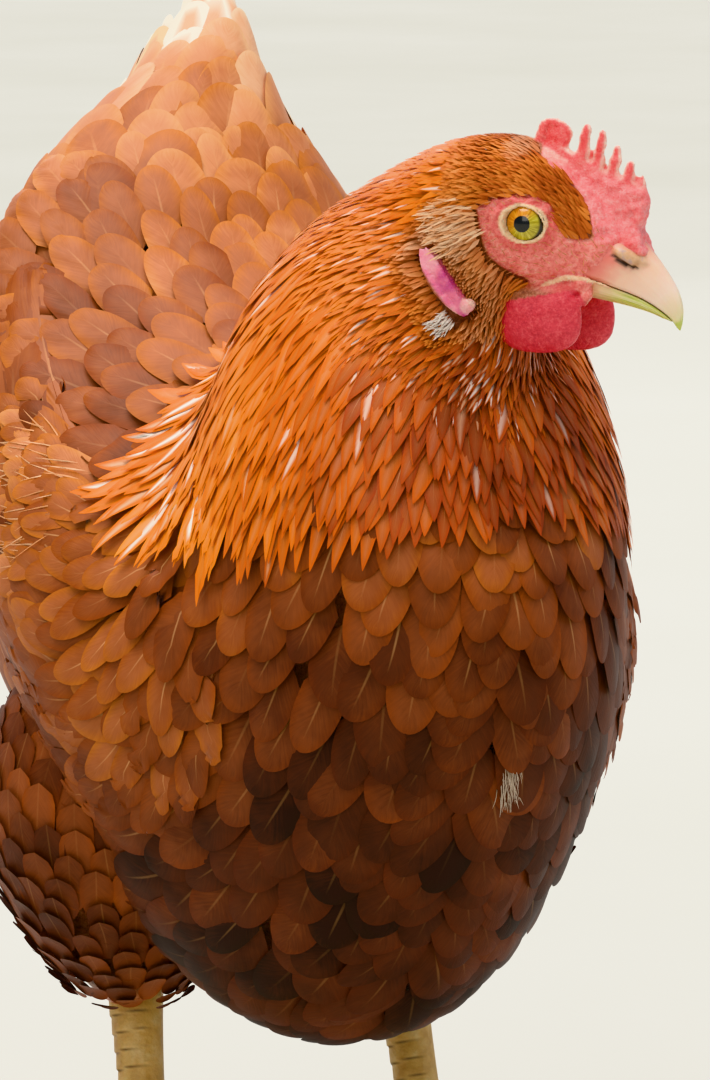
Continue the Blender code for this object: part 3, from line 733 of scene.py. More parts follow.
def eye_material():
    """A wet eye: the iris is amber behind and yellow-green in front and below, all under one clear gloss."""
    material, tree, surface = new_material(
        "Eye", Roughness=0.25, Coat_Weight=1.0, Coat_Roughness=0.02, Coat_IOR=1.45
    )
    streaks = noise(tree, 6.0, 3.0, 0.6, mark(tree, "rays", "Vector"))
    amber = ramp(tree, streaks, (0.30, "#B8650C"), (0.52, "#E09020"), (0.72, "#F0B040"))
    green = ramp(tree, streaks, (0.30, "#8E7C10"), (0.52, "#BFAE2C"), (0.72, "#D9CC58"))
    iris = mix(tree, mark(tree, "front"), amber, green)
    place = maths(tree, "ADD", mark(tree, "radius"), maths(tree, "MULTIPLY_ADD", streaks, 0.06, -0.03))
    pupil = PUPIL_RADIUS / IRIS_RADIUS
    inner = ramp(tree, place, (pupil - 0.02, "#000000"), (pupil + 0.02, "#FFFFFF"))
    outer = ramp(tree, place, (0.86, "#000000"), (0.97, "#FFFFFF"))
    tint = mix(tree, inner, colour("#05070A"), iris)
    tint = mix(tree, outer, tint, colour("#20160C"))
    tree.links.new(tint, surface.inputs["Base Color"])
    return material


def eyeball(side, mark_name, material):
    """The front of a ball out to the lids, drawn in behind them, with a low clear bulge over the iris."""
    rows, around = 48, 72
    u = circle(around)[None]
    rim = np.hypot(LID_WIDE * 1.02 * np.cos(u), LID_HIGH * 1.02 * np.sin(u))
    share = np.concatenate([np.linspace(1e-3, 1.0, rows - 3), [0.9, 0.5, 0.02]])[:, None]
    behind = np.concatenate([np.zeros(rows - 3), [0.0010, 0.0024, 0.0030]])[:, None]
    across = rim * share
    bulge = CORNEA_RISE * np.maximum(1 - (across / (IRIS_RADIUS * 1.04)) ** 2, 0.0) * (behind == 0)
    out = np.sqrt(EYE_RADIUS**2 - across**2) * (behind == 0) + np.sqrt(EYE_RADIUS**2 - rim**2) * (behind > 0)
    forward, up = across * np.cos(u), across * np.sin(u)
    points = head_place(forward + EYE_AHEAD, up, side * (EYE_SIDE + out + bulge - behind))
    radius = np.hypot(forward - GAZE, up).ravel() / IRIS_RADIUS
    turn = np.arctan2(up, forward - GAZE)
    rays = np.stack([np.cos(turn), np.sin(turn), 0.25 * across / IRIS_RADIUS], -1).reshape(-1, 3)
    front = ease(np.cos(u - math.radians(-35.0)) + 0 * across, -0.75, 0.35).ravel()
    faces = quads(rows, around)
    if side < 0:
        faces = faces[:, ::-1]
    eye = new_mesh(f"eyeball_{mark_name}", points, faces, radius=radius, rays=rays, front=front)
    eye.data.materials.append(material)
    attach(eye, "root")
    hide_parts(f"eye_{mark_name}")


wet_eye = eye_material()
eyeball(1, "L", wet_eye)
eyeball(-1, "R", wet_eye)


# ---------------------------------------------------------------- the bill
# Two halves of horn with their cutting edges together: fleshy pink at the root, cream along the side, and
# greenish yellow at the edges and the hooked tip. A horny flap roofs each nostril slit.
BILL_SECTIONS = np.array(
    [
        # top, mouth line and bottom, each forward and up in the head's frame, and the half width
        [0.0215, 0.0040, 0.0110, -0.0104, 0.0105, -0.0140, 0.0096],
        [0.0262, 0.0030, 0.0180, -0.0090, 0.0160, -0.0142, 0.0083],
        [0.0304, 0.0004, 0.0240, -0.0092, 0.0205, -0.0138, 0.0064],
        [0.0348, -0.0028, 0.0305, -0.0097, 0.0270, -0.0131, 0.0050],
        [0.0386, -0.0063, 0.0350, -0.0108, 0.0330, -0.0128, 0.0037],
        [0.0410, -0.0102, 0.0390, -0.0126, 0.0370, -0.0131, 0.0023],
        [0.0420, -0.0150, 0.0416, -0.0151, 0.0392, -0.0136, 0.0008],
    ]
)
NOSTRIL = (0.0253, -0.0022)  # its middle, forward and up in the head's frame
NOSTRIL_TILT = math.radians(12.5)
NOSTRIL_LONG = 0.0036
MOUTH_GAP = 0.00022  # each half's distance from the mouth line


def bill_material():
    """Horn: fine growth lines, a fleshy pink root, a creamy side, and lime at the lower edge and the tip."""
    material, tree, surface = new_material(
        "Bill horn", Subsurface_Weight=0.15, Subsurface_Scale=0.0008, Coat_Weight=0.35, Coat_Roughness=0.22
    )
    streak = noise(tree, 1.0, 4.0, 0.6, mark(tree, "lines", "Vector"))
    cloud = noise(tree, 260.0, 3.0)
    along = maths(tree, "ADD", mark(tree, "along"), maths(tree, "MULTIPLY", cloud, 0.16))
    horn = ramp(
        tree, along, (0.16, "#E6746A"), (0.28, "#F29A88"), (0.42, "#FBD0B4"), (0.70, "#FBE0CC"),
        (0.94, "#F0E0B4"), (1.04, "#CCD46A"),
    )
    edge = ramp(tree, streak, (0.30, "#B4C23C"), (0.50, "#DCE07C"), (0.70, "#F6F2D4"))
    tint = mix(tree, mark(tree, "edge"), horn, edge)
    tint = mix(tree, maths(tree, "MULTIPLY", streak, 0.5), tint, colour("#94808E"), "SOFT_LIGHT")
    flap = ramp(tree, cloud, (0.35, "#C08A5C"), (0.55, "#DDB08A"), (0.70, "#B69AA0"))
    tint = mix(tree, mark(tree, "flesh"), tint, flap)
    # The slit is painted near black: painted shade inside the nostril's opening.
    tint = mix(tree, mark(tree, "slit"), tint, colour("#2A1512"))
    tree.links.new(tint, surface.inputs["Base Color"])
    tree.links.new(maths(tree, "MULTIPLY_ADD", cloud, 0.30, 0.20), surface.inputs["Roughness"])
    bump(tree, surface, maths(tree, "ADD", streak, cloud), 0.00015, 0.6)
    return material


def bill_half(half, material):
    """Half of the bill: rings of an arch over a flat mouth face, from inside the skin to the tip. The arch's
    height is cos^0.8 of the angle round it, and it is drawn in beside its ridge, the culmen."""
    rows, around = 150, 104
    upper = half == "upper"
    t = np.linspace(0.0, 1.0, rows)
    last = len(BILL_SECTIONS) - 1 - (0.0 if upper else 0.75)
    row = blend(BILL_SECTIONS, t * last)
    mouth = row[:, 2:4]
    far = row[:, 0:2] if upper else row[:, 4:6]
    turn = circle(around)
    arch = np.maximum(np.cos(turn), 0.0) ** 0.8
    across = np.sin(turn) * (1.0 if upper else 0.90)
    ridge = 1.0 - 0.10 * np.sin(np.clip(turn, 0, np.pi) * 2) * (np.cos(turn) > 0)
    place = mouth[:, None] + (far - mouth)[:, None] * arch[None, :, None]
    end = np.sqrt(np.clip((1.0 - t) / 0.06, 0.0, 1.0))[:, None]
    middle = place.mean(1, keepdims=True)
    place = middle + (place - middle) * end[..., None]
    forward, up = place[..., 0], place[..., 1] + (MOUTH_GAP if upper else -MOUTH_GAP)
    side = row[:, 6][:, None] * (across * ridge)[None] * end
    flesh = np.zeros((rows, around))
    slit = np.zeros((rows, around))
    if upper:
        # The nostril: a slanted slit under a swollen horny flap, on each side near the root. The slit's
        # near-black colour is painted shade in the opening.
        f, u = forward - NOSTRIL[0], up - NOSTRIL[1]
        along = f * math.cos(NOSTRIL_TILT) - u * math.sin(NOSTRIL_TILT)
        over = f * math.sin(NOSTRIL_TILT) + u * math.cos(NOSTRIL_TILT) + 0.0005 * np.cos(along / 0.0023)
        on_side = np.abs(np.sin(turn))[None] > 0.35
        slit = ease(np.hypot(along / NOSTRIL_LONG, over / 0.00048), 1.15, 0.75) * on_side
        flap = ease(np.hypot((along - 0.0002) / 0.0046, (over - 0.0017) / 0.0018), 1.25, 0.40) * on_side
        side = side + np.sign(side) * (0.0013 * flap - 0.0007 * slit)
        flesh = ease(np.hypot((along - 0.0002) / 0.0042, (over - 0.0016) / 0.0020), 1.4, 0.6)
    share = t[:, None] + 0 * turn
    edge = ease(arch[None] + 0 * forward, 0.22, 0.02) * ease(t, 0.75, 0.98)[:, None]
    if not upper:
        edge = 0.25 + 0.75 * ease(share, 0.30, 0.60)
    lines = np.stack([3.0 * share, 9.0 * np.cos(turn) + 0 * share, 9.0 * np.sin(turn) + 0 * share], -1)
    faces = quads(rows, around)
    horn = new_mesh(
        f"bill_{half}_horn", head_place(forward, up, side), faces[:, ::-1] if upper else faces,
        along=share.ravel(), edge=edge.ravel(), flesh=flesh.ravel(), slit=slit.ravel(),
        lines=lines.reshape(-1, 3),
    )
    horn.data.materials.append(material)
    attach(horn, "root")
    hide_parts("bill_upper" if upper else "bill_lower")


bill_horn = bill_material()
bill_half("upper", bill_horn)
bill_half("lower", bill_horn)


# ---------------------------------------------------------------- the legs
# Bare shanks and toes in pale yellow horn: broad overlapping plates down the front and over the toes, small
# beads elsewhere, soft pads below, and a curved grey-brown claw on each toe.
PAD_RADIUS = 0.0110
SHANK_RADIUS = 0.0055
SCUTE = 0.0043  # length of one plate down the shank
TOES = {
    "inner": (-36.0, 0.037, 0.0040),
    "middle": (8.0, 0.058, 0.0043),
    "outer": (53.0, 0.046, 0.0040),
    "back": (-160.0, 0.026, 0.0036),
}  # degrees outwards from straight ahead, length and root radius
CLAW_LENGTH = 0.013


def leg_material():
    """Leg scales: dull yellow horn, paler on the plates, dirty brown in the grooves between them."""
    material, tree, surface = new_material("Leg scales", Subsurface_Weight=0.08, Subsurface_Scale=0.0008)
    cloud = noise(tree, 140.0, 4.0)
    fine = noise(tree, 1500.0, 3.0)
    place = add(tree, "ShaderNodeTexCoord").outputs["Object"]
    beads = add(tree, "ShaderNodeTexVoronoi", [("Vector", place), ("Scale", 620.0)]).outputs["Distance"]
    plate = ramp(tree, cloud, (0.30, "#B98A4C"), (0.52, "#D6AC68"), (0.75, "#E6CC94"))
    tint = mix(tree, mark(tree, "groove"), plate, colour("#6E5230"))
    tint = mix(tree, maths(tree, "MULTIPLY", fine, 0.25), tint, colour("#8A7458"))
    tree.links.new(tint, surface.inputs["Base Color"])
    tree.links.new(maths(tree, "MULTIPLY_ADD", cloud, 0.30, 0.34), surface.inputs["Roughness"])
    bump(tree, surface, maths(tree, "ADD", beads, fine), 0.00025, 0.6)
    return material


def claw_material():
    """Claw horn: grey-brown with lengthwise streaks and a paler worn tip."""
    material, tree, surface = new_material("Claw horn", Coat_Weight=0.15, Coat_Roughness=0.3, Roughness=0.4)
    streak = noise(tree, 420.0, 4.0, 0.7)
    root = ramp(tree, streak, (0.30, "#6B5440"), (0.70, "#A58C68"))
    tint = mix(tree, mark(tree, "along"), root, colour("#C9B48C"))
    tree.links.new(tint, surface.inputs["Base Color"])
    bump(tree, surface, streak, 0.0001, 0.5)
    return material


def plated(t, turn, length, front):
    """Height and groove of overlapping plates along a limb; front is where their middle faces, as an angle."""
    phase = (t * length / SCUTE + 0.18 * np.abs(np.sin(turn - front))) % 1.0
    plate = ease(0.5 + 0.5 * np.cos(turn - front), 0.35, 0.60)
    groove = ease(phase, 0.93, 1.0) + ease(phase, 0.10, 0.0)
    return plate * (phase**0.7 - 0.55) * 0.00050, plate * groove


def limb(name, path, radii, hint, material, node, around, plates=None):
    """A limb whose rings are raised by the plates and are flat where they meet the floor."""
    turn = circle(around)
    groove = np.zeros((len(path), around))
    reach = radii[:, None] + 0 * turn
    if plates is not None:
        length = np.linalg.norm(np.diff(path, axis=0), axis=1).sum()
        rise, groove = plated(np.linspace(0, 1, len(path))[:, None], turn, length, plates)
        reach = reach + rise
    points, faces = tube(path, reach, around, hint)
    points[:, 2] = np.maximum(points[:, 2], 0.0)
    groove = np.concatenate([groove[:1], groove, groove[-1:]])
    share = np.linspace(0, 1, len(path) + 2)[:, None] + 0 * turn
    piece = new_mesh(name, points, faces, groove=groove.ravel(), along=share.ravel())
    piece.data.materials.append(material)
    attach(piece, "root")
    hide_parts(*node)


def leg(side, letter, scales, horn):
    """One bare leg: the shank, which spreads into the pad on the floor, then four toes and their claws."""
    mirror = np.array((side, 1.0, 1.0))
    upwards = np.array((0, 0, 1.0))
    hock = HOCK * mirror + SHIFT
    ankle = ANKLE * mirror + SHIFT
    foot = ankle * (1, 1, 0) + np.array((0, -0.001, 0))
    t = np.linspace(0, 1, 150)[:, None]
    drop = np.linspace(0, 1, 40)[1:, None]
    path = np.concatenate([hock * (1 - t) + ankle * t, ankle * (1 - drop) + foot * drop])
    spread = np.interp(drop[:, 0], (0, 0.20, 0.55, 0.85, 1.0), (0.0071, 0.0088, 0.0110, 0.0110, 0.0095))
    radii = np.concatenate([(SHANK_RADIUS + 0.0022 * (1 - t) ** 4 + 0.0016 * t**6)[:, 0], spread])
    shank = f"shank_scales_{letter}"
    limb(shank, path, radii, (1, 0, 0), scales, [f"shank_{letter}"], 40, -np.pi / 2)
    for kind, (spread_out, length, radius) in TOES.items():
        toe = f"{kind}_{letter}"
        turn = math.radians(spread_out)
        ahead = np.array((side * math.sin(turn), -math.cos(turn), 0.0))
        t = np.linspace(0, 1, 90)
        thick = radius * (1 - 0.30 * t) * (1 - 0.09 * np.cos(6 * np.pi * t))
        rise = 0.0034 * (1 - t) ** 2 + 0.0010 * np.sin(np.pi * t) + 0.86 * thick
        path = foot + ahead * (PAD_RADIUS - 0.004 + (length + 0.002) * t)[:, None] + upwards * rise[:, None]
        limb(f"toe_scales_{toe}", path, thick, upwards, scales, [f"toe_{toe}"], 28, np.pi / 2)
        start = path[-1]
        t = np.linspace(0, 1, 30)
        fall = 0.0008 * np.sin(np.pi * t) - (start[2] - 0.0012) * t**1.8
        path = start + ahead * (CLAW_LENGTH * t - 0.0025)[:, None] + upwards * fall[:, None]
        radii = thick[-1] * 0.74 * (1 - t) ** 0.8 + 0.0003
        limb(f"claw_horn_{toe}", path, radii, upwards, horn, [f"claw_{toe}"], 20)


scale_horn = leg_material()
claw_horn = claw_material()
leg(1, "L", scale_horn, claw_horn)
leg(-1, "R", scale_horn, claw_horn)


# ---------------------------------------------------------------- the coat: how a feather is laid
# Every feather is one thin vane rooted over the skin, under its neighbours' tips. It follows the form's surface
# towards the tail, so its tip ends at the bird's outline, and loose barbs fray its margin.
COAT_SEED = 41
BODY_PATCH = 0.80  # share of the UV square's height that the body's unwrap fills; the thighs lie above it
TAIL_TIP = 0.05  # section number where the coat ends at the rear
ROOT_SHARE = 0.14  # the bare root of a feather, which has no web
ALL_ROUND = (-np.pi, np.pi)
SIDES = ((0, 1, "L"), (1, -1, "R"))  # number, sign of the side and letter
WING_FRONT = 8.3  # section numbers of the folded wing's ends, and how far it stands over the form
WING_REAR = 2.35
WING_DEPTH = 0.0075


def wing_edges(back):
    """Angles of the folded wing's top and bottom edges, by share of the way back along it."""
    top = np.radians(46 + 26 * (1 - back) ** 2 + 4 * back)
    bottom = np.radians(104 + 14 * np.sin(np.pi * np.minimum(back * 1.5, 1.0)) - 38 * back**1.6)
    return top, bottom


def wing_share(at, angle):
    """Place on the folded wing: share of the way back and down it; both are within 0..1 on the wing."""
    back = (WING_FRONT - at) / (WING_FRONT - WING_REAR)
    top, bottom = wing_edges(np.clip(back, 0.0, 1.0))
    return back, (np.abs(angle) - top) / (bottom - top)


def wing_rise(at, angle):
    """How far the folded wing stands over the form: a long low hump, nothing off the wing."""
    back, down = wing_share(at, angle)
    hump = np.sin(np.pi * np.clip(0.08 + 0.84 * back, 0, 1)) * np.sin(np.pi * np.clip(0.06 + 0.88 * down, 0, 1))
    inside = (back > 0) & (back < 1) & (down > 0) & (down < 1)
    return np.where(inside, 0.0012 + WING_DEPTH * np.maximum(hump, 0.0) ** 0.6, 0.0)


def scatter(seed, at_span, angle_span, spacing, keep=None, shape=form, ends=(0.0, BILL_ROOT), crowd=7.0):
    """Evenly scattered places on a surface: random tries by area, each kept if no other is within a spacing."""
    rng = np.random.default_rng(COAT_SEED + seed)
    rows, columns = 80, 96
    at_edge = np.linspace(*at_span, rows + 1)
    angle_edge = np.linspace(*angle_span, columns + 1)
    at_step, angle_step = at_edge[1] - at_edge[0], angle_edge[1] - angle_edge[0]
    middles = [(edge[1:] + edge[:-1]) / 2 for edge in (at_edge, angle_edge)]
    at, angle = np.meshgrid(*middles, indexing="ij")
    along, around = slopes(at, angle, shape, ends)[:2]
    area = np.linalg.norm(np.cross(along, around), axis=-1) * at_step * angle_step
    if keep is not None:
        area = area * keep(at, wrap(angle))

    def gap_at(at, angle):
        return spacing(at, wrap(angle)) if callable(spacing) else np.full(at.shape, spacing)

    wanted = area / gap_at(at, angle) ** 2
    tries = int(crowd * wanted.sum())
    cell = rng.choice(wanted.size, tries, p=wanted.ravel() / wanted.sum())
    at = at_edge[cell // columns] + rng.random(tries) * at_step
    angle = angle_edge[cell % columns] + rng.random(tries) * angle_step
    points = shape(at, angle)
    gap = gap_at(at, angle)
    keys = np.floor(points / gap.max()).astype(int)
    steps = [(x, y, z) for x in (-1, 0, 1) for y in (-1, 0, 1) for z in (-1, 0, 1)]
    kept = {}
    chosen = []
    for number, ((x, y, z), place, reach) in enumerate(zip(keys.tolist(), points.tolist(), (gap**2).tolist())):
        for i, j, k in steps:
            if any(
                (p[0] - place[0]) ** 2 + (p[1] - place[1]) ** 2 + (p[2] - place[2]) ** 2 < reach
                for p in kept.get((x + i, y + j, z + k), ())
            ):
                break
        else:
            kept.setdefault((x, y, z), []).append(place)
            chosen.append(number)
    return at[chosen], wrap(angle[chosen])


def steps_for(direction, along, around):
    """The changes of section number and angle that move a point on the form by a direction in its surface."""
    e = (along * along).sum(-1)
    f = (along * around).sum(-1)
    g = (around * around).sum(-1)
    a = (direction * along).sum(-1)
    b = (direction * around).sum(-1)
    whole = e * g - f * f + 1e-18
    return (g * a - f * b) / whole, (e * b - f * a) / whole


def vane(widen, rise, narrow, fall, end):
    """Half width along a feather at shares s of its length: it grows as (s / widen)^rise, and from the place
    narrow on it falls as (1 - t^fall)^end, with t from 0 there to 1 at the tip."""

    def half_width(s):
        t = np.clip((s - narrow) / (1 - narrow), 0, 1)
        return np.clip(s / widen, 0, 1) ** rise * np.maximum(1 - t**fall, 0.0) ** end

    return half_width


round_vane = vane(0.36, 0.6, 0.52, 2.1, 0.5)  # a body feather: quickly wide, then a broad round end
lance_vane = vane(0.25, 0.5, 0.25, 1.6, 0.8)  # a hackle feather: a long taper to a narrow end
quill_vane = vane(0.12, 0.5, 0.78, 2.2, 0.5)  # a wing or tail feather: nearly parallel, with a blunt end


def body_patch(at, angle):
    """Where a root lies on the body's unwrap: round the body across, tail to bill upwards."""
    return wrap(angle) / (2 * np.pi) + 0.5, at / BILL_ROOT * BODY_PATCH


def eased_rise(at, angle):
    """The wing's rise averaged over places round a point, so that feathers cross its edges without a step."""
    steps = [(i, k) for i in (-0.4, -0.2, 0.0, 0.2, 0.4) for k in (-0.18, -0.09, 0.0, 0.09, 0.18)]
    return sum(wing_rise(at + i, wrap(angle + k)) for i, k in steps) / len(steps)


def between(tree, value, start, end, most=1.0, **settings):
    """0 up to the start, rising to its most at the end; from there it stays."""
    links = [("Value", value), ("From Min", start), ("From Max", end), ("To Max", most)]
    return add(tree, "ShaderNodeMapRange", links, **settings).outputs[0]


def product(tree, *values):
    """Several numbers multiplied, held within 0..1."""
    result = values[0]
    for value in values[1:]:
        result = maths(tree, "MULTIPLY", result, value, clamp=True)
    return result


def shades(tree, value, codes):
    """Colours evenly spaced along a number from 0 to 1."""
    return ramp(tree, value, *[(k / (len(codes) - 1), code) for k, code in enumerate(codes)])


def feather_material(name, web_codes, rim_codes, shaft, pale_codes, pale="web", roughness=0.55, rim_share=0.85):
    """A feather's web: its colour runs from dark to light by tone and by each feather's own chance, and by the
    same value its soft rim runs through another row of colours; a fine bright line marks the shaft, and the
    barbs show as faint streaks under a silky sheen. Pale parts lie on the shaft, the rim or the whole web."""
    material, tree, surface = new_material(
        name, Roughness=roughness, Sheen_Weight=0.08, Sheen_Roughness=0.4, Specular_IOR_Level=0.30
    )
    across, along, chance = add(tree, "ShaderNodeSeparateXYZ", [(0, mark(tree, "vane", "Vector"))]).outputs
    aside = maths(tree, "ABSOLUTE", across)
    lag = maths(tree, "MULTIPLY_ADD", aside, -0.28, along)
    barb_place = add(
        tree,
        "ShaderNodeCombineXYZ",
        [
            ("X", maths(tree, "MULTIPLY", lag, 34.0)),
            ("Y", maths(tree, "MULTIPLY", across, 1.3)),
            ("Z", maths(tree, "MULTIPLY", chance, 91.0)),
        ],
    )
    barbs = noise(tree, 1.0, 3.0, 0.6, barb_place.outputs[0])
    # The value is tone + 0.20 chance + 0.14 barbs + 0.50 cloud - 0.42.
    value = mark(tree, "tone")
    for part, share in ((chance, 0.20), (barbs, 0.14), (noise(tree, 42.0, 4.0), 0.50)):
        value = maths(tree, "ADD", value, maths(tree, "MULTIPLY", part, share))
    value = maths(tree, "SUBTRACT", value, 0.42)
    web = shades(tree, value, web_codes)
    end = maths(tree, "POWER", along, 8.0)
    edge = maths(tree, "MAXIMUM", maths(tree, "POWER", aside, 2.4), end)
    edge = maths(tree, "ADD", edge, maths(tree, "MULTIPLY", barbs, 0.25))
    tint = mix(tree, between(tree, edge, 0.30, 0.95, rim_share), web, shades(tree, value, rim_codes))
    line = between(tree, aside, 0.07, 0.02, interpolation_type="SMOOTHSTEP")
    line = product(tree, line, between(tree, along, 0.88, 0.58), mark(tree, "streak"))
    tint = mix(tree, line, tint, mix(tree, 0.60, web, colour(shaft)))
    share = mark(tree, "pale")
    if pale == "shaft":
        share = product(tree, between(tree, aside, 0.75, 0.25), between(tree, along, 0.97, 0.86), share)
    elif pale == "rim":
        share = between(tree, maths(tree, "MULTIPLY", maths(tree, "MAXIMUM", aside, end), share), 0.30, 0.75)
    lit = between(tree, chance, 0.36, 0.48)
    tint = mix(tree, share, tint, mix(tree, lit, colour(pale_codes[0]), colour(pale_codes[1])))
    tree.links.new(tint, surface.inputs["Base Color"])
    bump(tree, surface, barbs, 0.00014, 0.45)
    return material


contour = feather_material(
    "Contour feathers",
    ("#28100A", "#5C2C18", "#94502F", "#B96E45", "#DE966A", "#F9C49C"),
    ("#220C03", "#5A2206", "#94430C", "#C8752C", "#F0AE76", "#FFDDB6"),
    "#E8B07C",
    ("#F6D2A4", "#FFF4E2"),
    "rim",
)
gold = feather_material(
    "Golden hackle feathers",
    ("#5A2210", "#A04A20", "#D06C1E", "#EE8A30", "#FFB25C"),
    ("#4C1A06", "#A63A06", "#DE6404", "#F98610", "#FFAC3A"),
    "#FFD79A",
    ("#E2B08C", "#FFFAF0"),
    "shaft",
    0.42,
)
rust = feather_material(
    "Rusty head feathers",
    ("#4E1C0A", "#8A3A16", "#C4622A", "#EA9048", "#FBBE84"),
    ("#44160A", "#7C2E0C", "#B8501A", "#E8863C", "#FFC890"),
    "#F0A860",
    ("#FBC292", "#FFDCB6"),
    rim_share=0.45,
)
down = feather_material(
    "White down",
    ("#8A6A50", "#D8BFA6", "#FFF6EC"),
    ("#8A6A50", "#E4D2BE", "#FFFDF8"),
    "#FFF6EC",
    ("#F0DFCC", "#FFFFFF"),
)


def plumage(
    name, seed, roots, length, width, material=contour, slot="body_feathers", vane=round_vane, rows=14,
    columns=5, fringe=0.0, sweep=0.26, turn=0.0, wander=0.08, proud=0.0002, lift=0.0010, sink=0.6, camber=0.07,
    roll=0.06, tone=0.0, pale=0.0, streak=0.4, rise=eased_rise, shape=form, ends=(TAIL_TIP, BILL_ROOT),
    patch=body_patch,
):
    """One object of many vanes. Each follows the surface from its root; its barbs leave the shaft towards the
    tip, so the web's edge lags by the sweep, and past the web each barb ends as a thin tooth. The height over
    the form is minus the sunk share of the coat's depth x (1 - s)^2, plus a little loft, less the camber at the
    sides. Turn, wander, tilt and bow are the feather's lean, its scatter, its roll and its bend."""
    rng = np.random.default_rng(COAT_SEED + 1000 + seed)
    at, angle = roots
    count = len(at)
    root_u, root_v = patch(at, angle)
    length = np.broadcast_to(length, count) * rng.normal(1.0, 0.08, count).clip(0.8, 1.2)
    width = np.broadcast_to(width, count) * rng.normal(1.0, 0.08, count).clip(0.8, 1.2)
    turn = np.broadcast_to(turn, count) + rng.normal(0.0, wander, count)
    depth = np.broadcast_to(sink, count) * (coat_depth(at, angle) if shape is form else 0.008)
    s = ROOT_SHARE + (0.994 - ROOT_SHARE) * (1 - (1 - np.linspace(0.0, 1.0, rows)) ** 1.5)
    x = np.linspace(-1.0, 1.0, columns)
    if fringe > 0:
        x = np.concatenate([[-1.0], x * (1 - fringe), [1.0]])
    wide = len(x)
    points = np.empty((count, rows, wide, 3))
    shown = np.empty((count, rows, wide, 3))
    at, angle = at.astype(float), angle.astype(float)
    beyond = np.zeros(count)
    tilt = rng.normal(0.0, roll, count)
    bow = rng.normal(0.0, 0.12, count)
    loft = rng.random(count) * lift
    rng.normal(size=count)  # not used: it keeps the draws that follow as they are
    chance = rng.random(count)
    tooth = (np.abs(x) == 1.0) & (fringe > 0)
    for i in range(rows):
        along, around, normal = slopes(at, angle, shape, ends)
        pace = np.linalg.norm(along, axis=-1)
        flow = -along / pace[:, None]
        aim = (turn + bow * (s[i] - 0.5))[:, None]
        side = np.cross(normal, flow)
        ahead = flow * np.cos(aim) + side * np.sin(aim)
        side = np.cross(normal, ahead)
        ahead_at, ahead_angle = steps_for(ahead, along, around)
        side_at, side_angle = steps_for(side, along, around)
        lag = sweep * (1 - np.exp(-(1 - s[i]) / sweep * 0.8))
        fray = np.where(tooth, rng.uniform(-1.5, 0.5, (count, wide)) * fringe, 0.0)
        lean = np.where(tooth, rng.uniform(0.2, 1.0, (count, wide)) * (1 - s[i]) * 0.10, 0.0)
        share = lag * np.abs(x) ** 1.2 + lean
        half = (width * vane(s[i] + lag))[:, None] * x * (1 + fray)
        reach = length[:, None] * share
        here_at = at[:, None] + side_at[:, None] * half + ahead_at[:, None] * reach
        here_angle = angle[:, None] + side_angle[:, None] * half + ahead_angle[:, None] * reach
        over = beyond[:, None] + np.maximum(ends[0] - here_at, 0.0) * pace[:, None]
        here_at = np.clip(here_at, *ends)
        here_s = np.minimum(s[i] + share, 1.0)
        height = -depth[:, None] * (1 - here_s) ** 2 + (proud + loft)[:, None] * here_s
        height = height + tilt[:, None] * half * here_s - camber * np.abs(half) * np.abs(x)
        if rise is not None:
            height = height + rise(here_at, wrap(here_angle))
        out = normal[:, None] * height[..., None] + ahead[:, None] * over[..., None]
        points[:, i] = shape(here_at, here_angle) + out
        shown[:, i, :, 0] = x
        shown[:, i, :, 1] = here_s
        if i < rows - 1:
            step = length * (s[i + 1] - s[i])
            at = at + ahead_at * step
            angle = angle + ahead_angle * step
            beyond = beyond + np.maximum(ends[0] - at, 0.0) * pace
            at = np.clip(at, *ends)
    shown[..., 2] = chance[:, None, None]
    uv = np.empty((count, rows, wide, 2))
    uv[..., 0] = 0.005 + 0.99 * root_u[:, None, None] + 0.0015 * x
    uv[..., 1] = 0.005 + 0.99 * root_v[:, None, None] + 0.003 * (s[None, :, None] - 0.5)
    first = 1 if fringe > 0 else 0
    i, k = np.meshgrid(np.arange(rows - 1), np.arange(first, wide - 1 - first), indexing="ij")
    a = (i * wide + k).ravel()
    faces = [np.stack([a, a + wide, a + wide + 1], 1), np.stack([a, a + wide + 1, a + 1], 1)]
    if fringe > 0:
        a = np.arange(rows - 1) * wide
        faces.append(np.stack([a + wide + 1, a + 1, a], 1))
        faces.append(np.stack([a + wide - 2, a + 2 * wide - 2, a + wide - 1], 1))
    faces = (np.arange(count)[:, None, None] * rows * wide + np.concatenate(faces)[None]).reshape(-1, 3)
    used, faces = np.unique(faces, return_inverse=True)

    def spread(value):
        return np.repeat(np.broadcast_to(value, count), rows * wide)[used]

    piece = new_mesh(
        name, points.reshape(-1, 3)[used], faces.reshape(-1, 3), uv=uv.reshape(-1, 2)[used],
        vane=shown.reshape(-1, 3)[used], tone=spread(tone), pale=spread(pale),
        streak=spread(streak * rng.uniform(0.2, 1.4, count)),
    )
    piece.data.materials.append(material)
    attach(piece, "root")


# ---------------------------------------------------------------- the head's and neck's feathers
# Hair-fine rusty feathers over crown, brow and chin, bristles on the cheek, a buff tuft over each ear, then the
# golden hackle: narrow pointed feathers in a cape that ends over the shoulders and darkens at the throat.
def share_round(angle):
    """0 at the back, 1 at the breast's middle line."""
    return np.abs(angle) / np.pi


def neck_start(angle):
    """Section number where the neck's longer feathers begin: right behind the ear lobe at the sides."""
    turn = np.degrees(np.abs(angle))
    return np.interp(turn, (0, 68, 80, 92, 134, 144, 180), (14.3, 14.1, 13.5, 13.02, 12.86, 13.4, 13.8))


def head_feathered(at, angle):
    """1 where the head bears fine feathers: all but the bare face, the comb's foot and the ear lobe."""
    turn = np.degrees(np.abs(angle))
    lobe = (np.abs(at - LOBE_AT) < 0.17) & (turn > 92) & (turn < 136)
    return (bare_at(at, angle) < 0.5) & ~lobe & (at > neck_start(angle) - 0.12)


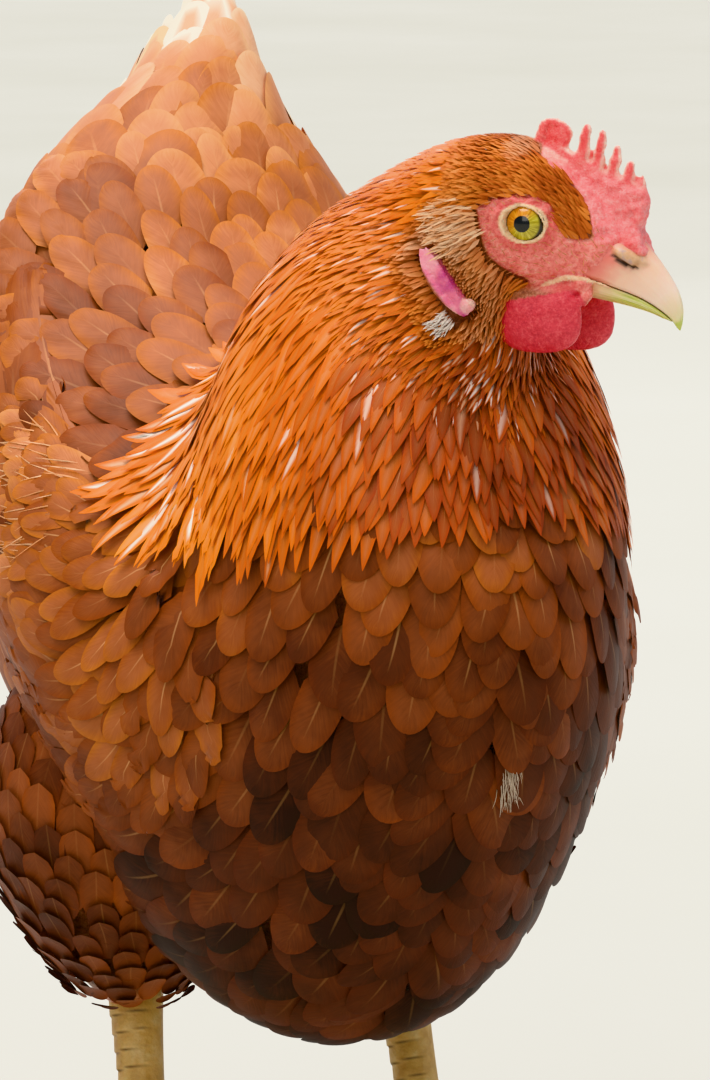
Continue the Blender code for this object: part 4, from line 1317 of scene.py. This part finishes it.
def within(angle, low, high):
    """1 where an angle's size is between two numbers of degrees."""
    return (np.abs(angle) > np.radians(low)) & (np.abs(angle) < np.radians(high))


HAIR = {"vane": lance_vane, "columns": 3}
HEAD = {**HAIR, "slot": "hackle_feathers"}
FUZZ = {**HEAD, "material": rust, "sweep": 0.2, "camber": 0.0}
roots = at, angle = scatter(1, (12.6, 18.2), ALL_ROUND, 0.00074, head_feathered)
forward, up = in_head(form(at, angle))[:2]
turn = np.degrees(np.abs(angle))
# Those before the ear lobe end short of it; on the cheek and ear they are buff and bristly.
reach = np.where((turn > 90) & (turn < 138), np.clip((at - LOBE_AT - 0.10) * 0.0105, 0.0008, 0.0044), 0.0048)
reach = np.where(at < LOBE_AT, 0.0044, reach)
cheek = ease(turn, 84, 92) * ease(at, 12.9, 13.3) * ease(forward, 0.006, 0.0)
patch = grain(form(at, angle), 0.0060, 11)
nape = ease(np.hypot(forward + 0.0046, up - 0.0160), 0.0042, 0.0015)
plumage(
    "crown_feathers", 1, roots, reach, 0.00060, rows=5, lift=0.00012, proud=0.0003, sink=0.9, roll=0.03,
    wander=0.14, tone=0.64 + 0.14 * patch - 0.08 * cheek - 0.05 * ease(up, 0.002, 0.010),
    pale=(0.55 - 0.30 * ease(turn, 104, 116)) * cheek + 0.30 * nape, **FUZZ,
)

# The buff tuft over the ear's opening points backwards, past the neck's darker feathers.
roots = at, angle = scatter(3, (13.55, 14.25), ALL_ROUND, 0.00085, lambda a, t: within(t, 80, 104))
plumage(
    "ear_tufts", 3, roots, 0.0068, 0.00036, rows=6, lift=0.0009, proud=0.0009, sink=0.8, tone=0.70, wander=0.16,
    turn=0.10 * np.sign(angle), pale=0.80, **FUZZ,
)


def bristled(at, angle):
    """1 where bristles stand: over the bare face, outside the lids."""
    from_eye = from_lid(*in_head(form(at, angle))[:2])
    return (bare_at(at, angle) > 0.6) & (from_eye > 1.35) & (np.abs(angle) > np.radians(52))


roots = scatter(6, (13.9, 18.6), ALL_ROUND, 0.0014, bristled)
plumage(
    "face_bristles", 6, roots, 0.0021, 0.00011, rows=4, lift=0.0004, proud=0.0003, sink=0.0, tone=0.55,
    wander=0.35, pale=0.25, **FUZZ,
)

roots = at, angle = scatter(2, (11.9, 14.4), ALL_ROUND, 0.0014, lambda a, t: a < neck_start(t))
throat = ease(share_round(angle), 0.45, 0.85)
flecks = (np.random.default_rng(COAT_SEED + 70).random(len(at)) < 0.10 + 0.22 * throat) * 0.6
plumage(
    "neck_feathers", 2, roots, 0.0105 + 0.002 * (1 - share_round(angle)), 0.00100, gold, rows=8, lift=0.0005,
    tone=0.62 - 0.30 * throat, sweep=0.2, wander=0.10, roll=0.03, pale=flecks, **HEAD,
)

# A tuft of white down shows below each ear lobe.
roots = scatter(11, (12.84, 13.10), ALL_ROUND, 0.00036, lambda a, t: np.abs(np.degrees(np.abs(t)) - 128) < 4.5)
plumage(
    "lobe_down", 11, roots, 0.0034, 0.00022, down, rows=5, lift=0.0005, proud=0.0010, sink=0.4, tone=0.78,
    wander=0.22, **HEAD,
)


def cape_end(angle):
    """Section number where the hackle's last roots stand: furthest back over the shoulders."""
    return np.interp(share_round(angle), (0.0, 0.22, 0.29, 0.42, 0.655, 1.0), (9.2, 7.9, 7.2, 8.9, 10.4, 11.4))


for number, hand, letter in SIDES:
    span = (0.0, np.pi) if hand > 0 else (-np.pi, 0.0)
    roots = at, angle = scatter(20 + number, (7.0, 12.6), span, 0.0028, lambda a, t: a > cape_end(t))
    round_it, before_end = share_round(angle), at - cape_end(angle)
    throat = ease(round_it, 0.45, 0.85)
    near_end = ease(before_end, 2.2, 0.3) * ease(round_it, 0.56, 0.44)
    chance = np.random.default_rng(COAT_SEED + 60 + number).random(len(at))
    over_wing = ease(round_it, 0.44, 0.36)
    centre = np.where(chance < 0.50 * near_end * over_wing + 0.07, 0.60 + 0.35 * near_end, 0.06)
    plumage(
        f"hackle_feathers_{letter}", 20 + number, roots, 0.034 - 0.012 * throat, 0.0030 + 0.0006 * near_end,
        gold, rows=12, lift=0.0005, sweep=0.22, camber=0.06, roll=0.03, streak=0.3,
        tone=0.60 + 0.10 * near_end - 0.34 * throat, pale=centre * (1 - 0.5 * throat),
        turn=-0.40 * hand * ease(round_it, 0.08, 0.28) * ease(at, 11.0, 9.0),
        proud=0.0004 + 0.0011 * ease(before_end, 3.0, 0.5) + 0.0016 * ease(at, 9.8, 8.0), **HEAD,
    )


# ---------------------------------------------------------------- the body's feathers
# Rounded chestnut feathers overlap like tiles over breast, sides and back, looser below and parted along the
# breast's middle line; they are darker below, partly as painted shade. The lightest stand on the tail's root,
# and white down shows in the parting.
# Rows are section numbers, columns degrees round from the back. The tones hold the coat's own colour, palest on
# the tail's root, together with painted light over the back and painted shade down the sides and under the
# breast and belly.
TONE_SECTIONS = (0.5, 2.5, 4.5, 6.5, 8.5, 10.5, 12.0)
TONE_DEGREES = (0, 45, 75, 100, 130, 180)
TONES_AND_SHADE = np.array(
    [
        [1.35, 1.20, 1.00, 0.84, 0.70, 0.66],
        [0.72, 0.64, 0.56, 0.54, 0.50, 0.48],
        [0.54, 0.41, 0.37, 0.44, 0.32, 0.26],
        [0.56, 0.44, 0.50, 0.42, 0.13, 0.05],
        [0.62, 0.52, 0.48, 0.34, 0.15, 0.09],
        [0.56, 0.50, 0.46, 0.38, 0.33, 0.33],
        [0.56, 0.52, 0.48, 0.42, 0.36, 0.36],
    ]
)


def coat_tone_and_shade(at, angle):
    """How light the coat is at a place, read from the table: palest on the tail, darkest under the breast. It
    is partly the coat's own colour and partly painted light over the back and painted shade underneath.
    """
    row = np.interp(at, TONE_SECTIONS, range(len(TONE_SECTIONS)))
    column = np.interp(np.degrees(np.abs(wrap(angle))), TONE_DEGREES, range(len(TONE_DEGREES)))
    i = np.minimum(row.astype(int), len(TONE_SECTIONS) - 2)
    k = np.minimum(column.astype(int), len(TONE_DEGREES) - 2)
    down, over = row - i, column - k
    first = TONES_AND_SHADE[i, k] * (1 - over) + TONES_AND_SHADE[i, k + 1] * over
    return first * (1 - down) + (TONES_AND_SHADE[i + 1, k] * (1 - over) + TONES_AND_SHADE[i + 1, k + 1] * over) * down


def on_wing(at, angle):
    """1 where the front half of the folded wing covers the body."""
    back, down = wing_share(at, angle)
    return (back > 0.06) & (back < 0.55) & (down > 0.10) & (down < 0.88)


def breast_spacing(at, angle):
    """Feathers stand closer at the top of the breast and along its parting."""
    return 0.0084 - 0.0014 * ease(at, 8, 11) - 0.0022 * ease(np.abs(angle), 2.80, 3.05)


def below_cape(at, angle):
    """1 where body feathers are rooted: behind the cape's last row and a little under it."""
    return at < cape_end(angle) + 0.35


roots = at, angle = scatter(4, (5.0, 11.8), np.radians((90, 270)), breast_spacing, below_cape)
top = ease(at, 8, 11)
parting = ease(np.degrees(np.abs(angle)), 150, 174) * np.sign(angle) * ease(at, 11.0, 9.5)
plumage(
    "breast_feathers", 4, roots, 0.0260 - 0.003 * top, 0.0068 - 0.0008 * top, tone=coat_tone_and_shade(at, angle),
    turn=0.26 * parting, wander=0.10, streak=0.70 * np.clip(2.2 * coat_tone_and_shade(at, angle), 0.25, 1.0),
)

roots = scatter(10, (8.68, 8.92), np.radians((171.5, 175.5)), 0.00055)
plumage(
    "parting_down", 10, roots, 0.0072, 0.00018, down, rows=6, lift=0.0012, proud=0.0006, sink=0.5, tone=0.45,
    wander=0.16, **HAIR,
)

roots = at, angle = scatter(
    5, (3.2, 9.8), ALL_ROUND, 0.0084, lambda a, t: within(t, 50, 89) & ~on_wing(a, t) & below_cape(a, t)
)
plumage(
    "side_feathers", 5, roots, 0.0270, 0.0070, tone=coat_tone_and_shade(at, angle), rise=None, streak=0.3,
    turn=-0.25 * np.sign(angle) * ease(np.abs(angle), 1.55, 1.15),
)

roots = at, angle = scatter(
    7, (3.0, 9.8), np.radians((-58, 58)), 0.0080, lambda a, t: ~on_wing(a, t) & below_cape(a, t)
)
plumage(
    "back_feathers", 7, roots, 0.028, 0.0064, tone=coat_tone_and_shade(at, angle),
    turn=-0.55 * np.sign(angle) * ease(np.abs(angle), 0.1, 0.7),
)

roots = at, angle = scatter(8, (1.4, 5.4), np.radians((96, 264)), 0.0084)
plumage(
    "belly_feathers", 8, roots, 0.032, 0.0076, columns=3, lift=0.0018, fringe=0.06, rise=None,
    tone=coat_tone_and_shade(at, angle), wander=0.16,
)


# ---------------------------------------------------------------- the wings
# Each folded wing lies along the flank: small rounded shoulder feathers, two rows of coverts, then the long
# secondaries one over another with the narrow tips of the primaries under them at the rear. Loose buff feathers
# and hairs spill over its lower half.
WING_LONG = 0.200  # from the shoulder to the rear tip


def wing_place(at, down):
    """The section number and angle of a place on the folded wing: at runs from 0 at its rear tip to 1 at the
    shoulder, down from 0 at its top edge to 1 at its bottom edge, with the sign of the side."""
    top, bottom = wing_edges(1 - np.clip(at, 0.0, 1.0))
    return WING_REAR + at * (WING_FRONT - WING_REAR), np.sign(down) * top + down * (bottom - top)


def wing_form(at, down):
    """Points of the folded wing, which stands over the body by the wing's rise."""
    at, down = np.broadcast_arrays(np.asarray(at, float), np.asarray(down, float))
    section, angle = wing_place(at, down)
    return form(section, angle) + slopes(section, angle)[2] * eased_rise(section, angle)[..., None]


def wing_patch(at, down):
    """Where a wing feather's root lies on the body's unwrap."""
    return body_patch(*wing_place(at, down))


WING = {"shape": wing_form, "ends": (0.0, 1.0), "patch": wing_patch, "rise": None}
QUILL = {"vane": quill_vane, "rows": 22, "roll": 0.02}
for number, hand, letter in SIDES:
    # Primaries first, then the secondaries over them from the lowest up; each ends near the rear tip.
    order = np.arange(8)
    roots = (np.full(8, 0.50), hand * (0.92 - 0.06 * order))
    plumage(
        f"primaries_{letter}", 30 + number, roots, 0.49 * WING_LONG - 0.002 * order, 0.0062, fringe=0.03,
        wander=0.01, tone=0.30, sink=0.2, proud=-0.0012, lift=0.0001, **QUILL, **WING,
    )
    order = np.arange(15)
    roots = (0.54 + 0.008 * order, hand * (0.88 - 0.060 * order))
    ends = 0.10 + 0.10 * np.abs(order / 14 - 0.45)
    plumage(
        f"secondaries_{letter}", 32 + number, roots, (roots[0] - ends) * WING_LONG, 0.0092, fringe=0.04,
        wander=0.02, tone=0.32 + 0.006 * order, sink=0.25, proud=0.0004, lift=0.0002, **QUILL, **WING,
    )
    rows_back, rows_down = np.meshgrid((0.60, 0.69), np.linspace(0.06, 0.90, 12), indexing="ij")
    roots = (rows_back.ravel(), hand * rows_down.ravel())
    plumage(
        f"wing_coverts_{letter}", 34 + number, roots, 0.038, 0.0066, tone=coat_tone_and_shade(*wing_place(*roots)) - 0.02,
        lift=0.0006, proud=0.0010, wander=0.06, turn=-0.25 * hand, **WING,
    )
    span = (0.02, 0.98) if hand > 0 else (-0.98, -0.02)
    roots = scatter(36 + number, (0.42, 0.99), span, 0.0056, shape=wing_form, ends=(0.0, 1.0))
    plumage(
        f"shoulder_feathers_{letter}", 36 + number, roots, 0.026, 0.0046, rows=12,
        tone=coat_tone_and_shade(*wing_place(*roots)), lift=0.0009, proud=0.0012, wander=0.10, turn=-0.50 * hand,
        streak=0.7, **WING,
    )

for number, hand, letter in SIDES:
    span = np.radians((58, 78) if hand > 0 else (-78, -58))
    roots = scatter(44 + number, (4.9, 5.9), span, 0.0034)
    plumage(
        f"flank_fluff_{letter}", 44 + number, roots, 0.019, 0.0036, rows=12, lift=0.0014, proud=0.0014,
        sink=0.3, tone=0.60, wander=0.20, turn=-0.5 * hand, streak=0.2,
    )
    roots = scatter(46 + number, (4.9, 5.7), span, 0.0024)
    plumage(
        f"flank_hairs_{letter}", 46 + number, roots, 0.014, 0.00022, rust, rows=7, proud=0.0020, sink=0.0,
        tone=0.70, wander=0.20, turn=-0.5 * hand, pale=0.6, **HAIR,
    )


# ---------------------------------------------------------------- the tail
# Broad rounded coverts hide the roots of the upright tail; its stiff quills form a narrow roof whose upper and
# rear edges are creamy white. Loose down fills the vent below.
for number, hand, letter in SIDES:
    order = np.arange(8)
    roots = (2.5 - 0.03 * order, hand * np.radians(12 + 19.0 * order))
    plumage(
        f"tail_quills_{letter}", 40 + number, roots, 0.070 - 0.0012 * order, 0.0110, fringe=0.04, wander=0.02,
        tone=np.where(order < 3, 0.95, 0.66), pale=np.where(order < 2, 1.3, 0.12), sink=0.7, lift=0.0005,
        **{**QUILL, "rows": 24},
    )

roots = at, angle = scatter(9, (1.15, 3.5), ALL_ROUND, 0.0100, lambda a, t: np.abs(t) < np.radians(150))
plumage(
    "tail_coverts", 9, roots, 0.034, 0.0102, rows=16, lift=0.0016, tone=coat_tone_and_shade(at, angle), roll=0.08,
    wander=0.10, pale=1.8 * ease(at, 1.8, 1.35) * ease(np.abs(angle), 1.7, 1.0), rise=None,
    turn=-0.35 * np.sign(angle) * ease(np.abs(angle), 0.2, 0.9),
)
roots = scatter(42, (0.8, 2.9), np.radians((130, 230)), 0.0075)
plumage(
    "vent_down", 42, roots, 0.026, 0.0060, rows=12, columns=3, fringe=0.25, lift=0.003, tone=0.60, wander=0.30,
    pale=0.20,
)


# ---------------------------------------------------------------- the thighs' feathers
# Soft rounded feathers wrap each drumstick down to the hock, where the scaled shank begins.
def thigh_form(side):
    """The drumstick's outline as a surface: at from 0 at the hock to 1 at the hip, angle round the leg."""
    path, radii = thigh_path(side)
    path, radii = path[::-1], radii[::-1]
    forth = path[-1] - path[0]
    forth /= np.linalg.norm(forth)
    over = np.cross(forth, (0.0, 1.0, 0.0))
    over /= np.linalg.norm(over)
    front = np.cross(over, forth)

    def shape(at, angle):
        at, angle = np.broadcast_arrays(np.asarray(at, float), np.asarray(angle, float))
        place = np.clip(at, 0, 1) * (len(path) - 1)
        middle, radius = blend(path, place), blend(radii[:, None], place)
        return middle + radius * (over * np.cos(angle)[..., None] - front * np.sin(angle)[..., None])

    return shape


def thigh_patch(side):
    """Where a thigh feather's root lies: the strip over the body's unwrap, left half for the left leg."""
    return lambda at, angle: (wrap(angle) / (4 * np.pi) + (0.25 if side > 0 else 0.75), 0.83 + 0.14 * at)


for number, hand, letter in SIDES:
    leg_form = {"shape": thigh_form(hand), "ends": (0.0, 1.0)}
    roots = at, angle = scatter(50 + number, (0.08, 0.98), ALL_ROUND, 0.0060, **leg_form)
    plumage(
        f"thigh_feathers_{letter}", 50 + number, roots, np.minimum(0.013 + 0.013 * at, (at - 0.02) * 0.085),
        0.0034 + 0.0022 * at, lift=0.0, tone=0.26, roll=0.0, proud=-0.0014, camber=0.03, sweep=0.10,
        streak=0.15, sink=0.5, patch=thigh_patch(hand), rise=None, wander=0.06, **leg_form,
    )


# ---------------------------------------------------------------- floor, light and camera
# A pale floor under soft overcast light from above, with the camera in front and to the hen's right.
CAMERA_AZIMUTH = math.radians(-22.0)
CAMERA_ELEVATION = math.radians(9.0)
CAMERA_DISTANCE = 1.45
CAMERA_ASIDE = 0.0400  # the view's middle is this far left of the hen's right eye, and this far below it
CAMERA_BELOW = 0.07595
EYE_FRONT = 0.0025


def floor():
    """A pale matt floor, faintly mottled."""
    half = 6.0
    corners = [(-half, -half, 0), (half, -half, 0), (half, half, 0), (-half, half, 0)]
    plane = new_mesh("floor", corners, np.array([[0, 1, 2, 3]]))
    material, tree, surface = new_material("Pale floor", Roughness=0.8)
    cloud = noise(tree, 3.0, 5.0)
    tree.links.new(ramp(tree, cloud, (0.3, "#C1BFB7"), (0.7, "#C6C4BD")), surface.inputs["Base Color"])
    plane.data.materials.append(material)


def put(name, data, right, back, place):
    """A light or camera at a place, turned by its own right and back axes."""
    obj = bpy.data.objects.new(name, data)
    bpy.context.scene.collection.objects.link(obj)
    whole = np.eye(4)
    whole[:3, :3] = np.stack([right, np.cross(back, right), back], 1)
    whole[:3, 3] = place
    obj.matrix_world = Matrix(whole)
    return obj


def lamp(name, place, aim, size, power, tint, kind="AREA"):
    """A soft light aimed at a point: a square one with its side in metres, or a far one with its breadth as
    an angle."""
    light = bpy.data.lights.new(name, kind)
    light.energy = power
    light.color = colour(tint)[:3]
    if kind == "SUN":
        light.angle = size
    else:
        light.size = size
    back = np.array(place, float) - np.array(aim, float)
    back /= np.linalg.norm(back)
    side = np.cross((0.0, 0.0, 1.0), back)
    put(name, light, side / np.linalg.norm(side), back, place)


def camera():
    """The camera at its place before the head, level and a little above it."""
    az, el = CAMERA_AZIMUTH, CAMERA_ELEVATION
    right = np.array((math.cos(az), math.sin(az), 0.0))
    back = np.array((math.sin(az) * math.cos(el), -math.cos(az) * math.cos(el), math.sin(el)))
    eye = head_place(0.0, 0.0, -EYE_SIDE - EYE_FRONT)
    place = eye - right * CAMERA_ASIDE - np.cross(back, right) * CAMERA_BELOW + back * CAMERA_DISTANCE
    data = bpy.data.cameras.new("camera")
    data.sensor_fit = "VERTICAL"
    data.sensor_height = 36.0
    data.lens = 203.0
    bpy.context.scene.camera = put("camera", data, right, back, place)


def sky():
    """Even pale daylight from all round."""
    world = bpy.data.worlds.new("Soft daylight")
    world.use_nodes = True
    background = world.node_tree.nodes["Background"]
    background.inputs["Color"].default_value = colour("#DCE4EA")
    background.inputs["Strength"].default_value = 0.55
    bpy.context.scene.world = world
    bpy.context.scene.view_settings.view_transform = "Khronos PBR Neutral"


floor()
sky()
# Each lamp's place, aim, size, power and tint.
lamp("overhead", (-0.35, 0.1, 2.1), (0, 0, 0.2), 0.95, 3.6, "#FFFBF4", "SUN")
lamp("front", (-1.3, -1.7, 1.3), (0, 0, 0.25), 1.2, 9.0, "#FFF6EA")
lamp("side", (1.7, -0.8, 0.9), (0, 0, 0.2), 1.2, 4.0, "#F4F8FF")
lamp("behind", (0.4, 1.8, 1.3), (0, 0, 0.25), 1.2, 9.0, "#F6F9FF")
camera()
